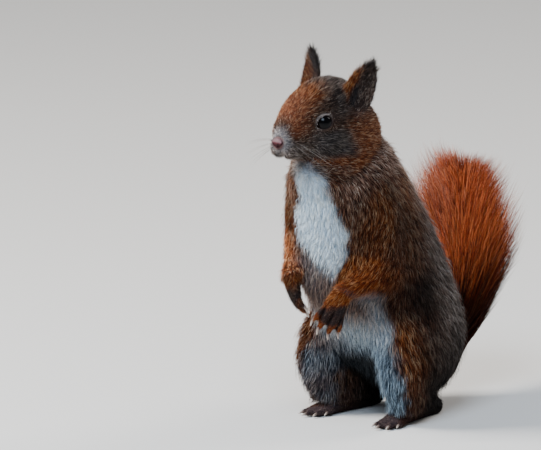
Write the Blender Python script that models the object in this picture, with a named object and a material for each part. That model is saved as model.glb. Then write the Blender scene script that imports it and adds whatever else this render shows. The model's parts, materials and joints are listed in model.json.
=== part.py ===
"""A red squirrel standing up on its hind feet, life size, with its paws hanging before its belly.

The coat's outer form is modelled whole: lofted limbs and rounded masses are fused into one closed
skin, smoothed, and then parted with thin cuts into head, neck, trunk, limbs and tail lengths.
The squirrel faces -Y, its left side is +X, it stands on z = 0, and its head is turned a little
to its own right. Every table below is in millimetres, and MM turns it into metres.
"""

import math

import bmesh
import bpy
from mathutils import Matrix, Vector

MM = 0.001
GAP = 0.3  # clear space left between neighbouring pieces
FLESH_VOXEL = 0.62  # grain of the fused skin before it is thinned out
FLESH_FACES = 2400  # triangles kept on the fused body
TAIL_FACES = 480
SMOOTH_ROUNDS = 16  # rounds of smoothing over the trunk and limbs
FACE_ROUNDS = 6  # rounds over the face
FINE_ROUNDS = 2  # rounds over everything, paws and ears too
FLAT_ANGLE = 4.0  # faces that turn less than this, in degrees, are merged
SOLE_LEVEL = 0.9  # the soles and the tail's root are cut flat this far up

SIDES = {"left": 1, "right": -1}

# ---- the trunk and neck, as level sections: y, z, half width, half depth ----
TRUNK = [
    (5, 19, 21, 22),
    (2, 28, 29, 32),
    (-5, 45, 33, 39),
    (-12.3, 62, 34.5, 44.3),
    (-21.5, 82, 34, 46.5),
    (-28.5, 100, 33, 44.5),
    (-33, 114, 32, 42.5),
    (-38, 126, 31, 40.5),
    (-43.5, 137.5, 29, 38),
    (-47.5, 147, 26, 34.5),
]
NECK = [
    (-0.2, -48, 146, 25.5, 35),
    (-0.8, -48.5, 156, 22.5, 29),
    (-1.2, -48.5, 164, 19.5, 24),
    (-2, -47.5, 171, 17.5, 21.5),
    (-2.5, -49.5, 178, 15, 19),
]

# ---- the head, in its own frame: x to its left, y back from the nose tip, z up ----
NOSE_TIP = Vector((-4.5, -98.9, 165.4))
HEAD_TURN = math.radians(-2.0)
# y, top, bottom, half width
FACE = [
    (2.6, 4.6, -5.6, 5.3),
    (6.0, 10.6, -9.6, 8.4),
    (12.0, 17.6, -12.6, 10.8),
    (20.0, 24.6, -14.4, 13.4),
    (29.0, 29.4, -15.0, 15.6),
    (38.0, 31.6, -15.0, 16.8),
    (46.0, 30.0, -14.0, 15.5),
]
CHEEK = ((9.0, 33, -4.0), (9.5, 13.0, 11.0))
LIP = ((4.2, 7.0, -4.6), (4.8, 6.0, 5.0))
BROW = ((9.5, 24.5, 14.5), (6.0, 8.0, 5.0))
EYE_AT = (11.4, 24.7, 9.3)
EYE_RADIUS = 5.0
NOSE_PAD = ((0, -0.4, -0.2), (3.5, 3.0, 3.4))

# ---- an ear: a leaf-shaped cup, from its root to the tip of its tuft ----
EAR_ROOTS = {"left": (14.5, 39.5, 10.0), "right": (17.8, 38.0, 10.0)}
EAR_TIPS = {"left": (22.9, 52.0, 40.2), "right": (23.4, 52.0, 41.7)}
EAR_FACES = {"left": (0.62, -0.78, 0.05), "right": (-0.2, -0.98, 0.05)}  # where each opens
EAR_WIDTH = 9.2
EAR_LEAF = [(0.0, 0.8), (0.25, 1.0), (0.5, 0.98), (0.7, 0.82), (0.85, 0.54), (1.0, 0.14)]
EAR_HOLLOW = 5.6
EAR_WALL = 1.8

# ---- arms: shoulder, elbow, wrist, knuckles and finger ends, the right paw a little higher ----
ARMS = {
    "left": {
        "shoulder": (23.5, -49, 130),
        "elbow": (28.5, -47.5, 91.5),
        "wrist": (19.5, -70.8, 81.5),
        "knuckle": (16, -76.4, 69.5),
        "tip": (13, -81, 59),
    },
    "right": {
        "shoulder": (-23.5, -51, 131),
        "elbow": (-26.5, -53.5, 93),
        "wrist": (-16.2, -74.6, 86),
        "knuckle": (-11.6, -75.8, 76),
        "tip": (-7, -73, 66.5),
    },
}
UPPER_ARM_RADII = [(0.0, 13.0, 15.0), (0.35, 12.6, 14.5), (0.75, 11.0, 12.5), (1.0, 9.5, 10.0)]
FOREARM_RADII = [(0.0, 9.0, 9.5), (0.4, 7.8, 8.0), (0.8, 5.2, 5.8), (1.0, 4.6, 4.8)]
PALM_RADII = [(0.0, 4.6, 4.0), (0.5, 6.0, 3.6), (1.0, 6.9, 3.0)]
FINGER_SPREAD = (-6.0, -2.1, 2.1, 6.0)
FINGER_LENGTH = (9.0, 11.5, 11.5, 9.0)
FINGER_RADIUS = 1.85

# ---- legs: hip, knee and ankle, the right one a little farther forward ----
LEGS = {
    "left": {
        "hip": (18, 3, 47),
        "knee": (28, -33, 43),
        "shin": [
            (28, -32, 33, 12.5, 15),
            (26.5, -30, 22, 11.5, 13.5),
            (24, -20, 14.5, 9.5, 11),
            (20.5, -2, 11, 6, 7),
        ],
        "foot": (0.0, 0.0),
    },
    "right": {
        "hip": (-18, 3, 47),
        "knee": (-29, -36.5, 43),
        "shin": [
            (-29, -36, 33, 12.5, 15),
            (-28, -34, 22, 11.5, 13.5),
            (-25, -23, 14.5, 9.5, 11),
            (-21, -4, 11, 6, 7),
        ],
        "foot": (-1.0, -3.0),
    },
}
THIGH_RADII = [(0.0, 17.5, 27.0), (0.4, 17.5, 26.0), (0.8, 14.5, 20.0), (1.0, 13.0, 17.0)]
FOOT = [
    (19.5, 4.5, 5.2, 5.0, 5.0),
    (20.0, -6.0, 5.4, 5.2, 5.6),
    (22.0, -22.0, 4.8, 5.8, 4.8),
    (23.5, -33.0, 3.9, 6.8, 3.9),
]
TOE_SPREAD = (-5.4, -3.0, 0.1, 3.2, 5.7)
TOE_LENGTH = (7.5, 12.5, 14.0, 13.0, 8.5)
TOE_RADIUS = 2.1

# ---- claws ----
CLAW_LENGTH = 4.8
CLAW_RADIUS = 0.85
HAND_HOOK = 0.35  # how far the tip bends down, as a share of the length
FOOT_HOOK = 0.18

# ---- the tail, as a fan of long hair about a curved core: y, z, half width, half depth ----
TAIL = [
    (14, 13, 8.0, 8.0),
    (26, 10.2, 9.5, 10.0),
    (35, 19, 10.5, 10.0),
    (42, 31, 13.0, 10.5),
    (46, 44, 18.0, 11.5),
    (48, 58, 25.0, 12.5),
    (49, 74, 33.0, 13.5),
    (50, 92, 37.0, 14.5),
    (51, 110, 35.5, 14.5),
    (53, 125, 29.0, 13.0),
]
TAIL_CUTS = (30.0, 68.0, 102.0)  # levels where the tail is divided


# ---------------------------------------------------------------- shape helpers


def spline(rows, per_span):
    """The rows, with per_span steps from each to the next along a Catmull-Rom curve."""
    ends = [rows[0], *rows, rows[-1]]
    made = []
    for before, a, b, after in zip(ends, ends[1:], ends[2:], ends[3:]):
        for step in range(per_span):
            t = step / per_span
            made.append(
                tuple(
                    0.5
                    * (
                        2 * q
                        + (r - p) * t
                        + (2 * p - 5 * q + 4 * r - s) * t * t
                        + (3 * q - p - 3 * r + s) * t**3
                    )
                    for p, q, r, s in zip(before, a, b, after)
                )
            )
    return [*made, rows[-1]]


def ring(bm, centre, wide, deep, count):
    """A loop of vertices round centre, on the ellipse of the half axes wide and deep."""
    angles = (2 * math.pi * k / count for k in range(count))
    return [bm.verts.new(centre + wide * math.cos(a) + deep * math.sin(a)) for a in angles]


def close_loft(bm, rings, start, end):
    """Faces from ring to ring, and a fan to a pole at each end."""
    for low, high in zip(rings, rings[1:]):
        for k in range(len(low)):
            n = (k + 1) % len(low)
            bm.faces.new((low[k], low[n], high[n], high[k]))
    first, last = bm.verts.new(start), bm.verts.new(end)
    for k in range(len(rings[0])):
        n = (k + 1) % len(rings[0])
        bm.faces.new((rings[0][n], rings[0][k], first))
        bm.faces.new((rings[-1][k], rings[-1][n], last))


def tube(bm, rows, side=(1, 0, 0), level=False, per_span=4, count=20, swell=0.0, blunt=1.0, dome=(75, 50, 25)):
    """A limb with round ends through rows of x, y, z, half width and half depth."""
    path = spline(rows, per_span)
    centres = [Vector(r[:3]) for r in path]
    rings = []
    for i, row in enumerate(path):
        ahead, behind = centres[min(i + 1, len(path) - 1)], centres[max(i - 1, 0)]
        along = Vector((0, 0, 1)) if level else (ahead - behind).normalized()
        deep = along.cross(Vector(side)).normalized()
        wide = deep.cross(along).normalized()
        rings.append((centres[i], along, wide * (row[3] + swell), deep * (row[4] + swell)))
    loops = []
    dome = [(math.cos(math.radians(a)), math.sin(math.radians(a))) for a in dome]
    for shrink, rise in dome:
        centre, along, wide, deep = rings[0]
        reach = min(wide.length, deep.length) * rise * blunt
        loops.append(ring(bm, centre - along * reach, wide * shrink, deep * shrink, count))
    for centre, _, wide, deep in rings:
        loops.append(ring(bm, centre, wide, deep, count))
    for shrink, rise in reversed(dome):
        centre, along, wide, deep = rings[-1]
        reach = min(wide.length, deep.length) * rise * blunt
        loops.append(ring(bm, centre + along * reach, wide * shrink, deep * shrink, count))
    poles = []
    for (centre, along, wide, deep), way in ((rings[0], -1), (rings[-1], 1)):
        poles.append(centre + along * way * min(wide.length, deep.length) * blunt)
    close_loft(bm, loops, *poles)


def ball(bm, centre, radii, frame, grain=4):
    """A rounded mass, in the frame of the part it belongs to."""
    scale = Matrix.Diagonal((*radii, 1))
    matrix = frame @ Matrix.Translation(centre) @ scale
    bmesh.ops.create_icosphere(bm, subdivisions=grain, radius=1.0, matrix=matrix)


def between(a, b, radii):
    """Rows for a tube from a to b, whose radii are given at shares of the way."""
    a, b = Vector(a), Vector(b)
    return [(*a.lerp(b, share), wide, deep) for share, wide, deep in radii]


def new_object(name, bm):
    """An object that holds bm's mesh, with its faces turned out."""
    bmesh.ops.recalc_face_normals(bm, faces=bm.faces)
    mesh = bpy.data.meshes.new(name)
    bm.to_mesh(mesh)
    bm.free()
    obj = bpy.data.objects.new(name, mesh)
    bpy.context.scene.collection.objects.link(obj)
    return obj


def apply_modifiers(obj):
    """Makes the object's evaluated shape its own mesh."""
    bpy.context.view_layer.update()
    graph = bpy.context.evaluated_depsgraph_get()
    shaped = bpy.data.meshes.new_from_object(obj.evaluated_get(graph))
    obj.modifiers.clear()
    old, obj.data = obj.data, shaped
    bpy.data.meshes.remove(old)


def boolean(obj, operation, cutter):
    step = obj.modifiers.new(operation.lower(), "BOOLEAN")
    step.operation = operation
    step.solver = "EXACT"
    step.object = cutter
    apply_modifiers(obj)


def discard(obj):
    mesh = obj.data
    bpy.data.objects.remove(obj)
    bpy.data.meshes.remove(mesh)


def copy_of(obj, name):
    twin = bpy.data.objects.new(name, obj.data.copy())
    bpy.context.scene.collection.objects.link(twin)
    return twin


def grown(obj, by):
    """A copy of obj, fatter all round."""
    fat = copy_of(obj, obj.name + "_grown")
    step = fat.modifiers.new("grow", "DISPLACE")
    step.strength = by
    step.mid_level = 0.0
    apply_modifiers(fat)
    return fat


def fuse(obj, voxel):
    """Joins the overlapping lofts of obj into one closed skin."""
    step = obj.modifiers.new("fuse", "REMESH")
    step.mode = "VOXEL"
    step.voxel_size = voxel
    apply_modifiers(obj)


def thin_out(obj, faces):
    """Keeps about this many triangles, most of them where the form bends."""
    obj.data.calc_loop_triangles()
    step = obj.modifiers.new("thin", "DECIMATE")
    step.ratio = faces / len(obj.data.loop_triangles)
    step.use_collapse_triangulate = True
    apply_modifiers(obj)


# ---------------------------------------------------------------- the forms


def head_frame():
    return Matrix.Translation(NOSE_TIP) @ Matrix.Rotation(HEAD_TURN, 4, "Z")


def head_forms(bm):
    frame = head_frame()
    rows = [(0, y, (top + low) / 2, wide, (top - low) / 2) for y, top, low, wide in FACE]
    made = bmesh.new()
    tube(made, rows, count=28)
    bmesh.ops.transform(made, matrix=frame, verts=made.verts)
    temporary = bpy.data.meshes.new("face")
    made.to_mesh(temporary)
    made.free()
    bm.from_mesh(temporary)
    bpy.data.meshes.remove(temporary)
    for side in SIDES.values():
        for centre, radii in (CHEEK, LIP, BROW):
            ball(bm, (centre[0] * side, *centre[1:]), radii, frame)


def leaf_width(share):
    """Half the ear's width at a share of the way from its root to its tip."""
    for (t0, w0), (t1, w1) in zip(EAR_LEAF, EAR_LEAF[1:]):
        if share <= t1:
            return EAR_WIDTH * (w0 + (w1 - w0) * (share - t0) / (t1 - t0))
    return EAR_WIDTH * EAR_LEAF[-1][1]


def ear_axes(side_name):
    """An ear's root, tip, the direction across it, and the direction its hollow opens."""
    frame, side = head_frame(), SIDES[side_name]
    turned = Vector((side, 1, 1))
    root = frame @ (turned * Vector(EAR_ROOTS[side_name]))
    tip = frame @ (turned * Vector(EAR_TIPS[side_name]))
    up = (tip - root).normalized()
    across = up.cross(frame.to_3x3() @ Vector(EAR_FACES[side_name])).normalized()
    return root, tip, across, across.cross(up).normalized()


def ear_form(bm, side_name):
    """A leaf-shaped cup whose cross-sections are crescents."""
    root, tip, across, opens = ear_axes(side_name)
    up = (tip - root).normalized()
    levels, fan = 12, 9
    loops = []
    for level in range(levels):
        t = level / (levels - 1)
        width = leaf_width(t)
        hollow = EAR_HOLLOW * min(1.0, 1.5 * (1 - t) + 0.12)
        wall = EAR_WALL * (1 - 0.2 * t)
        centre = root.lerp(tip, t) - opens * 1.2 * math.sin(math.pi * t)
        angles = [math.radians(-86 + 172 * k / (fan - 1)) for k in range(fan)]
        back = [
            centre + across * width * math.sin(a) - opens * hollow * math.cos(a) for a in angles
        ]
        inner_width = max(width - wall * 0.5, 0.5)
        inner_hollow = hollow - wall
        front = [
            centre + across * inner_width * math.sin(a) - opens * inner_hollow * math.cos(a)
            for a in reversed(angles)
        ]
        loops.append([bm.verts.new(p) for p in back + front])
    close_loft(bm, loops, root - up * 1.0 - opens * EAR_HOLLOW * 0.7, tip + up * 1.0)


def arm_rows(side_name):
    arm = ARMS[side_name]
    return (
        between(arm["shoulder"], arm["elbow"], UPPER_ARM_RADII),
        between(arm["elbow"], arm["wrist"], FOREARM_RADII),
        between(arm["wrist"], arm["knuckle"], PALM_RADII),
    )


def hand_axes(side_name):
    """The directions along the fingers, across the knuckles, and out of the back of the hand."""
    arm = ARMS[side_name]
    along = (Vector(arm["tip"]) - Vector(arm["knuckle"])).normalized()
    back = Vector((0.67 * SIDES[side_name], -0.74, 0))
    across = along.cross(back).normalized()
    return along, across, across.cross(along).normalized()


def finger_paths(side_name):
    """Each finger's three joints, hanging from the knuckles and curling back a little."""
    knuckle = Vector(ARMS[side_name]["knuckle"])
    along, across, back = hand_axes(side_name)
    if back.y > 0:
        back = -back
    paths = []
    for spread, length in zip(FINGER_SPREAD, FINGER_LENGTH):
        root = knuckle + across * spread * 0.8 - along * 1.5
        way = (along + across * spread * 0.05).normalized()
        middle = root + way * length * 0.55 + back * 0.9
        end = root + way * length - back * 0.5
        paths.append((root, middle, end))
    return paths


def toe_paths(side_name):
    """Each toe's three joints, flat on the floor ahead of the sole."""
    side = SIDES[side_name]
    x, y, z, _, _ = leg_rows(side_name)[2][-1]
    paths = []
    for spread, length in zip(TOE_SPREAD, TOE_LENGTH):
        start = Vector((x + spread * 0.8 * side, y + abs(spread) * 0.5, z - 0.2))
        way = Vector(((spread * 0.055 + 0.08) * side, -1, 0)).normalized()
        middle = start + way * length * 0.55 + Vector((0, 0, -0.5))
        end = start + way * length + Vector((0, 0, 3.1 - z))
        paths.append((start, middle, end))
    return paths


def digit(bm, path, radius):
    start, middle, end = path
    rows = [
        (*start, radius, radius),
        (*middle, radius * 1.06, radius * 1.06),
        (*end, radius * 0.86, radius * 0.8),
    ]
    tube(bm, rows, per_span=3, count=12)


def leg_rows(side_name):
    leg, side = LEGS[side_name], SIDES[side_name]
    aside, ahead = leg["foot"]
    sole = [(x * side + aside, y + ahead, *rest) for x, y, *rest in FOOT]
    return between(leg["hip"], leg["knee"], THIGH_RADII), leg["shin"], sole


def body_forms():
    """Every mass of the head, trunk and limbs, overlapping its neighbours."""
    bm = bmesh.new()
    tube(bm, [(0, *row) for row in TRUNK], level=True, count=32, blunt=0.6)
    tube(bm, NECK, level=True, count=28, blunt=0.8)
    head_forms(bm)
    for name, side in SIDES.items():
        ear_form(bm, name)
        upper_arm, forearm, palm = arm_rows(name)
        tube(bm, upper_arm)
        tube(bm, forearm, side=(0.5 * side, 0.3, 0.8))
        tube(bm, palm, side=hand_axes(name)[1])
        for path in finger_paths(name):
            digit(bm, path, FINGER_RADIUS)
        thigh, shin, sole = leg_rows(name)
        tube(bm, thigh)
        tube(bm, shin)
        tube(bm, sole)
        for path in toe_paths(name):
            digit(bm, path, TOE_RADIUS)
    return new_object("body", bm)


# ---------------------------------------------------------------- fusing and smoothing


def is_fine(point):
    """True on the ears, paws and feet, whose forms are too thin for heavy smoothing."""
    local = head_frame().inverted() @ point
    if abs(local.x) > 12 and local.z > 16:
        return True
    if point.z < 10 and point.y < -8:
        return True
    for arm in ARMS.values():
        if (point - Vector(arm["knuckle"])).length < 16 and point.z < arm["wrist"][2] - 2:
            return True
    return False


def is_face(point):
    local = head_frame().inverted() @ point
    return local.y < 30 and local.z > -16


def smooth(obj):
    """Blends the forms into each other: the trunk and limbs most, then the face, then the rest."""
    bm = bmesh.new()
    bm.from_mesh(obj.data)
    coarse = [v for v in bm.verts if not is_fine(v.co)]
    broad = [v for v in coarse if not is_face(v.co)]
    for verts, rounds in ((broad, SMOOTH_ROUNDS), (coarse, FACE_ROUNDS), (bm.verts, FINE_ROUNDS)):
        for _ in range(rounds):
            bmesh.ops.smooth_vert(
                bm, verts=verts, factor=0.5, use_axis_x=True, use_axis_y=True, use_axis_z=True
            )
    bm.to_mesh(obj.data)
    bm.free()


def block(name, low, high):
    """A box between two corners."""
    bm = bmesh.new()
    low, high = Vector(low), Vector(high)
    middle, size = (low + high) / 2, high - low
    matrix = Matrix.Translation(middle) @ Matrix.Diagonal((*size, 1))
    bmesh.ops.create_cube(bm, size=1.0, matrix=matrix)
    return new_object(name, bm)


def stand_flat(obj):
    """Cuts the underside level, so that the sole or tail root rests on the floor."""
    floor = block("floor", (-200, -200, -100), (200, 200, SOLE_LEVEL))
    boolean(obj, "DIFFERENCE", floor)
    discard(floor)


# ---------------------------------------------------------------- parting


def facing_block(name, at, normal, half, depth):
    """A box whose near face is square to normal at the point at, and which runs on along normal."""
    bm = bmesh.new()
    turn = Vector(normal).normalized().to_track_quat("Z", "Y").to_matrix().to_4x4()
    matrix = Matrix.Translation(at) @ turn @ Matrix.Translation((0, 0, depth / 2))
    matrix = matrix @ Matrix.Diagonal((2 * half, 2 * half, depth, 1))
    bmesh.ops.create_cube(bm, size=1.0, matrix=matrix)
    return new_object(name, bm)


def islands(bm):
    """The separate bodies of a mesh, as sets of vertices."""
    left, found = set(bm.verts), []
    while left:
        start = left.pop()
        body, edge = {start}, [start]
        while edge:
            fresh = {e.other_vert(v) for v in edge for e in v.link_edges} - body
            body |= fresh
            edge = list(fresh)
        left -= body
        found.append(body)
    return found


def keep_main(obj):
    """Drops the crumbs that a cut leaves beside the main body."""
    bm = bmesh.new()
    bm.from_mesh(obj.data)
    bodies = sorted(islands(bm), key=len)
    crumbs = [v for body in bodies[:-1] for v in body]
    bmesh.ops.delete(bm, geom=crumbs, context="VERTS")
    bm.to_mesh(obj.data)
    bm.free()


def part_off(whole, name, region, wider):
    """Takes what lies in region off whole as a piece, and leaves a gap by cutting the wider region."""
    piece = copy_of(whole, name)
    boolean(piece, "INTERSECT", region)
    boolean(whole, "DIFFERENCE", wider)
    discard(region)
    discard(wider)
    return piece


def part_beyond(whole, name, at, normal, half, depth):
    """Parts off what lies past a plane, within a box of the given half width and depth."""
    normal = Vector(normal).normalized()
    at = Vector(at)
    region = facing_block("region", at, normal, half, depth)
    wider = facing_block("wider", at - normal * GAP, normal, half + GAP, depth + 2 * GAP)
    return part_off(whole, name, region, wider)


def part_round(whole, name, rows, swell, **shape):
    """Parts off what lies inside a limb's own form, swollen to clear its coat."""
    regions = []
    for extra in (swell, swell + GAP):
        bm = bmesh.new()
        tube(bm, rows, swell=extra, per_span=1, count=12, dome=(50,), **shape)
        regions.append(new_object("region", bm))
    return part_off(whole, name, *regions)


def part_ball(whole, name, pad, frame):
    """Parts off what lies inside a rounded mass."""
    centre, radii = pad
    regions = []
    for extra in (0.0, GAP):
        bm = bmesh.new()
        ball(bm, centre, [r + extra for r in radii], frame, 2)
        regions.append(new_object("region", bm))
    return part_off(whole, name, *regions)


def eye_socket(head, centre):
    bm = bmesh.new()
    matrix = Matrix.Translation(centre)
    radius = EYE_RADIUS + GAP + 0.25  # its facets lie a little inside this
    bmesh.ops.create_icosphere(bm, subdivisions=2, radius=radius, matrix=matrix)
    hollow = new_object("socket", bm)
    boolean(head, "DIFFERENCE", hollow)
    discard(hollow)


def eyeball(name, centre):
    bm = bmesh.new()
    matrix = Matrix.Translation(centre)
    bmesh.ops.create_uvsphere(bm, u_segments=14, v_segments=8, radius=EYE_RADIUS, matrix=matrix)
    return new_object(name, bm)


def claw_form(bm, path, radius, hook, fatter=0.0):
    """A claw that leaves the end of a digit and hooks downwards, with its root sunk in the flesh."""
    _, middle, end = path
    way = (end - middle).normalized()
    sideways = way.cross(Vector((0, 0, 1))).normalized()
    under = way.cross(sideways).normalized()
    if under.z > 0:
        under = -under
    root = end + way * (radius * 0.1 - fatter) - under * radius * 0.1
    loops = []
    for share, thickness in ((0.0, 1.0), (0.45, 0.82), (0.8, 0.5)):
        centre = root + way * CLAW_LENGTH * share * (1 - 0.15 * share)
        centre = centre + under * CLAW_LENGTH * hook * share**2
        wide = sideways * (CLAW_RADIUS * thickness * 0.8 + fatter)
        deep = under * (CLAW_RADIUS * thickness + fatter)
        loops.append(ring(bm, centre, wide, deep, 6))
    tip = root + way * (CLAW_LENGTH * 0.85 + fatter) + under * CLAW_LENGTH * hook
    close_loft(bm, loops, root - way * 0.1, tip)


def add_claws(limb, stem, paths, radius, hook):
    """Sets a claw into each digit of a paw or foot."""
    claws = []
    for number, path in enumerate(paths, 1):
        bm = bmesh.new()
        claw_form(bm, path, radius, hook)
        claws.append(new_object(f"{stem}_{number}", bm))
        bm = bmesh.new()
        claw_form(bm, path, radius, hook, GAP)
        seat = new_object("seat", bm)
        boolean(limb, "DIFFERENCE", seat)
        discard(seat)
    return claws


def build_body():
    """The fused body and head, parted into named pieces."""
    whole = body_forms()
    fuse(whole, FLESH_VOXEL)
    smooth(whole)
    thin_out(whole, FLESH_FACES)
    stand_flat(whole)
    frame = head_frame()
    pieces = []
    for name, side in SIDES.items():
        arm = ARMS[name]
        along, across, _ = hand_axes(name)
        mitten = [(*arm["wrist"], 10, 6.5), (*arm["knuckle"], 11, 6.5)]
        mitten.append((*(Vector(arm["tip"]) + along * 6), 11, 6.5))
        hand = part_round(whole, f"hand_{name}", mitten, 0.0, side=across, blunt=0.2)
        pieces.append(hand)
        pieces += add_claws(hand, f"claw_hand_{name}", finger_paths(name), FINGER_RADIUS, HAND_HOOK)
        upper_arm, forearm, _ = arm_rows(name)
        pieces.append(part_round(whole, f"forearm_{name}", forearm, 1.4, side=(0.5 * side, 0.3, 0.8)))
        pieces.append(part_round(whole, f"upper_arm_{name}", upper_arm, 1.6))
        root, tip, across, opens = ear_axes(name)
        shares = [(share, leaf_width(share) + 1.2, 4.8) for share in (0.3, 0.55, 0.8, 1.0)]
        leaf = between(root - opens * 2.6, tip - opens * 2.6, shares)
        pieces.append(part_round(whole, f"ear_{name}", leaf, 0.0, side=across))
        thigh, shin, _ = leg_rows(name)
        foot_low = (8.0 if side > 0 else -46, -60, -5)
        foot_high = (46 if side > 0 else -8.0, 12, 8.6)
        region = block("region", foot_low, foot_high)
        grow = Vector((GAP, GAP, GAP))
        wider = block("wider", Vector(foot_low) - grow, Vector(foot_high) + grow)
        foot = part_off(whole, f"foot_{name}", region, wider)
        pieces.append(foot)
        pieces += add_claws(foot, f"claw_foot_{name}", toe_paths(name), TOE_RADIUS, FOOT_HOOK)
        pieces.append(part_round(whole, f"shin_{name}", shin, 1.8))
        pieces.append(part_round(whole, f"thigh_{name}", thigh, 1.8))
    head = part_beyond(whole, "head", (-1, -55, 151.5), (0, -0.45, 0.9), 70, 90)
    for name, side in SIDES.items():
        centre = frame @ Vector((EYE_AT[0] * side, *EYE_AT[1:]))
        eye_socket(head, centre)
        pieces.append(eyeball(f"eye_{name}", centre))
    pieces.append(part_ball(head, "nose", NOSE_PAD, frame))
    pieces.append(head)
    pieces.append(part_beyond(whole, "neck", (0, -46, 135), (0, -0.4, 0.92), 60, 60))
    pieces.append(part_beyond(whole, "chest", (0, -17, 86), (0, -0.32, 0.95), 80, 80))
    whole.name = "abdomen"
    pieces.append(whole)
    return pieces


def build_tail(neighbours):
    """The tail as one fused fan, cleared of the rump, and divided into lengths."""
    bm = bmesh.new()
    tube(bm, [(0, *row) for row in TAIL], count=28)
    tail = new_object("tail", bm)
    fuse(tail, FLESH_VOXEL * 1.6)
    thin_out(tail, TAIL_FACES)
    stand_flat(tail)
    for piece in neighbours:
        clear = grown(piece, GAP * 1.3)
        boolean(tail, "DIFFERENCE", clear)
        discard(clear)
    lengths = []
    for number, level in zip((4, 3, 2), reversed(TAIL_CUTS)):
        lengths.append(part_beyond(tail, f"tail_{number}", (0, 50, level), (0, 0, 1), 90, 90))
    tail.name = "tail_1"
    return [tail, *lengths]


# ---------------------------------------------------------------- finish

COLOURS = {
    "russet": ((0.36, 0.13, 0.045), 0.85),
    "grizzled": ((0.20, 0.105, 0.06), 0.85),
    "white": ((0.72, 0.72, 0.70), 0.85),
    "tail_red": ((0.42, 0.10, 0.025), 0.85),
    "paw_dark": ((0.07, 0.045, 0.04), 0.8),
    "nose": ((0.24, 0.10, 0.09), 0.45),
    "horn": ((0.62, 0.54, 0.45), 0.35),
    "eye": ((0.008, 0.006, 0.006), 0.05),
}
WEARS = {
    "head": "russet",
    "neck": "grizzled",
    "chest": "white",
    "abdomen": "grizzled",
    "ear": "grizzled",
    "upper": "russet",
    "forearm": "russet",
    "hand": "paw_dark",
    "thigh": "grizzled",
    "shin": "russet",
    "foot": "russet",
    "tail": "tail_red",
    "nose": "nose",
    "eye": "eye",
    "claw": "horn",
}


def material(name):
    colour, roughness = COLOURS[name]
    made = bpy.data.materials.get(name)
    if made is None:
        made = bpy.data.materials.new(name)
        made.use_nodes = True
        shader = made.node_tree.nodes["Principled BSDF"]
        shader.inputs["Base Color"].default_value = (*colour, 1)
        shader.inputs["Roughness"].default_value = roughness
        shader.inputs["Metallic"].default_value = 0.0
    return made


def tidy(obj):
    """Keeps one body, and merges the faces that lie almost flat together."""
    keep_main(obj)
    bm = bmesh.new()
    bm.from_mesh(obj.data)
    bmesh.ops.dissolve_limit(
        bm, angle_limit=math.radians(FLAT_ANGLE), verts=bm.verts, edges=bm.edges
    )
    bmesh.ops.triangulate(bm, faces=bm.faces)
    bm.to_mesh(obj.data)
    bm.free()


def finish(pieces):
    """Stands the squirrel over the origin, gives each piece its own centre, and paints it."""
    for piece in pieces:
        if piece.name.split("_")[0] not in ("eye", "claw"):
            tidy(piece)
    corners = [v.co for piece in pieces for v in piece.data.vertices]
    low = Vector([min(c[k] for c in corners) for k in range(3)])
    high = Vector([max(c[k] for c in corners) for k in range(3)])
    middle = Vector(((low.x + high.x) / 2, (low.y + high.y) / 2, low.z))
    for piece in pieces:
        mesh = piece.data
        mesh.transform(Matrix.Scale(MM, 4) @ Matrix.Translation(-middle))
        points = [v.co for v in mesh.vertices]
        centre = Vector([(min(p[k] for p in points) + max(p[k] for p in points)) / 2 for k in range(3)])
        mesh.transform(Matrix.Translation(-centre))
        piece.location = centre
        mesh.materials.clear()
        mesh.materials.append(material(WEARS[piece.name.split("_")[0]]))
        mesh.shade_smooth()
        mesh.set_sharp_from_angle(angle=math.radians(50))


def main():
    for obj in list(bpy.data.objects):
        bpy.data.objects.remove(obj)
    pieces = build_body()
    rump = [p for p in pieces if p.name.split("_")[0] in ("abdomen", "thigh", "shin", "foot", "chest")]
    pieces += build_tail(rump)
    finish(pieces)


main()
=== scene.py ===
"""A life-size red squirrel on its hind feet: its skin, its coat in tufts, eyes, nose, claws and whiskers."""
import json
import math
import re
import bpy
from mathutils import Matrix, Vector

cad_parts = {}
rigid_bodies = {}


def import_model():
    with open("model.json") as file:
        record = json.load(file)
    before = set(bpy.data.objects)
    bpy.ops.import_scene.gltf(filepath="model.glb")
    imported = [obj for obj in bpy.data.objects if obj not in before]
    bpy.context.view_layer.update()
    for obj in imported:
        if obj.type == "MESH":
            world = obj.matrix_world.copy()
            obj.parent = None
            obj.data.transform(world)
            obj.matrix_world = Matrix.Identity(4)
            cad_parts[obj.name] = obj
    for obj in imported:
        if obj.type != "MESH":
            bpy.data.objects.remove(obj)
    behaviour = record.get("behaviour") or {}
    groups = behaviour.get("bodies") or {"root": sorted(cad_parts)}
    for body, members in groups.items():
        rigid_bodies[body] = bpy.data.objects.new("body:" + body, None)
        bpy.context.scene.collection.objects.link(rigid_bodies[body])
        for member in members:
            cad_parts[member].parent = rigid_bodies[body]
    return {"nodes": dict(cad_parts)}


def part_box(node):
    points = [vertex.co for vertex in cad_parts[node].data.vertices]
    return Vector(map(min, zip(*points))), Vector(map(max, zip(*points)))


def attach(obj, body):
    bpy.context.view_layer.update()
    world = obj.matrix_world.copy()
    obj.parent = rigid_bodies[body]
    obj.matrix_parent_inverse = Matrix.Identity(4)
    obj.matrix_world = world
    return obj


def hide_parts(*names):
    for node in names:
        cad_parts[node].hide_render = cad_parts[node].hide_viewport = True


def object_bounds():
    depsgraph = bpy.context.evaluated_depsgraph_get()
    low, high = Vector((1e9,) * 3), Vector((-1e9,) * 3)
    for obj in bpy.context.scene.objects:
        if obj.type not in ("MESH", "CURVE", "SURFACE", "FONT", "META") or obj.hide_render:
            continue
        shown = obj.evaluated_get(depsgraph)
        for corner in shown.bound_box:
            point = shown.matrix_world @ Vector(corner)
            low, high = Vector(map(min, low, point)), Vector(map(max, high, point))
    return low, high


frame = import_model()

from types import SimpleNamespace

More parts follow.
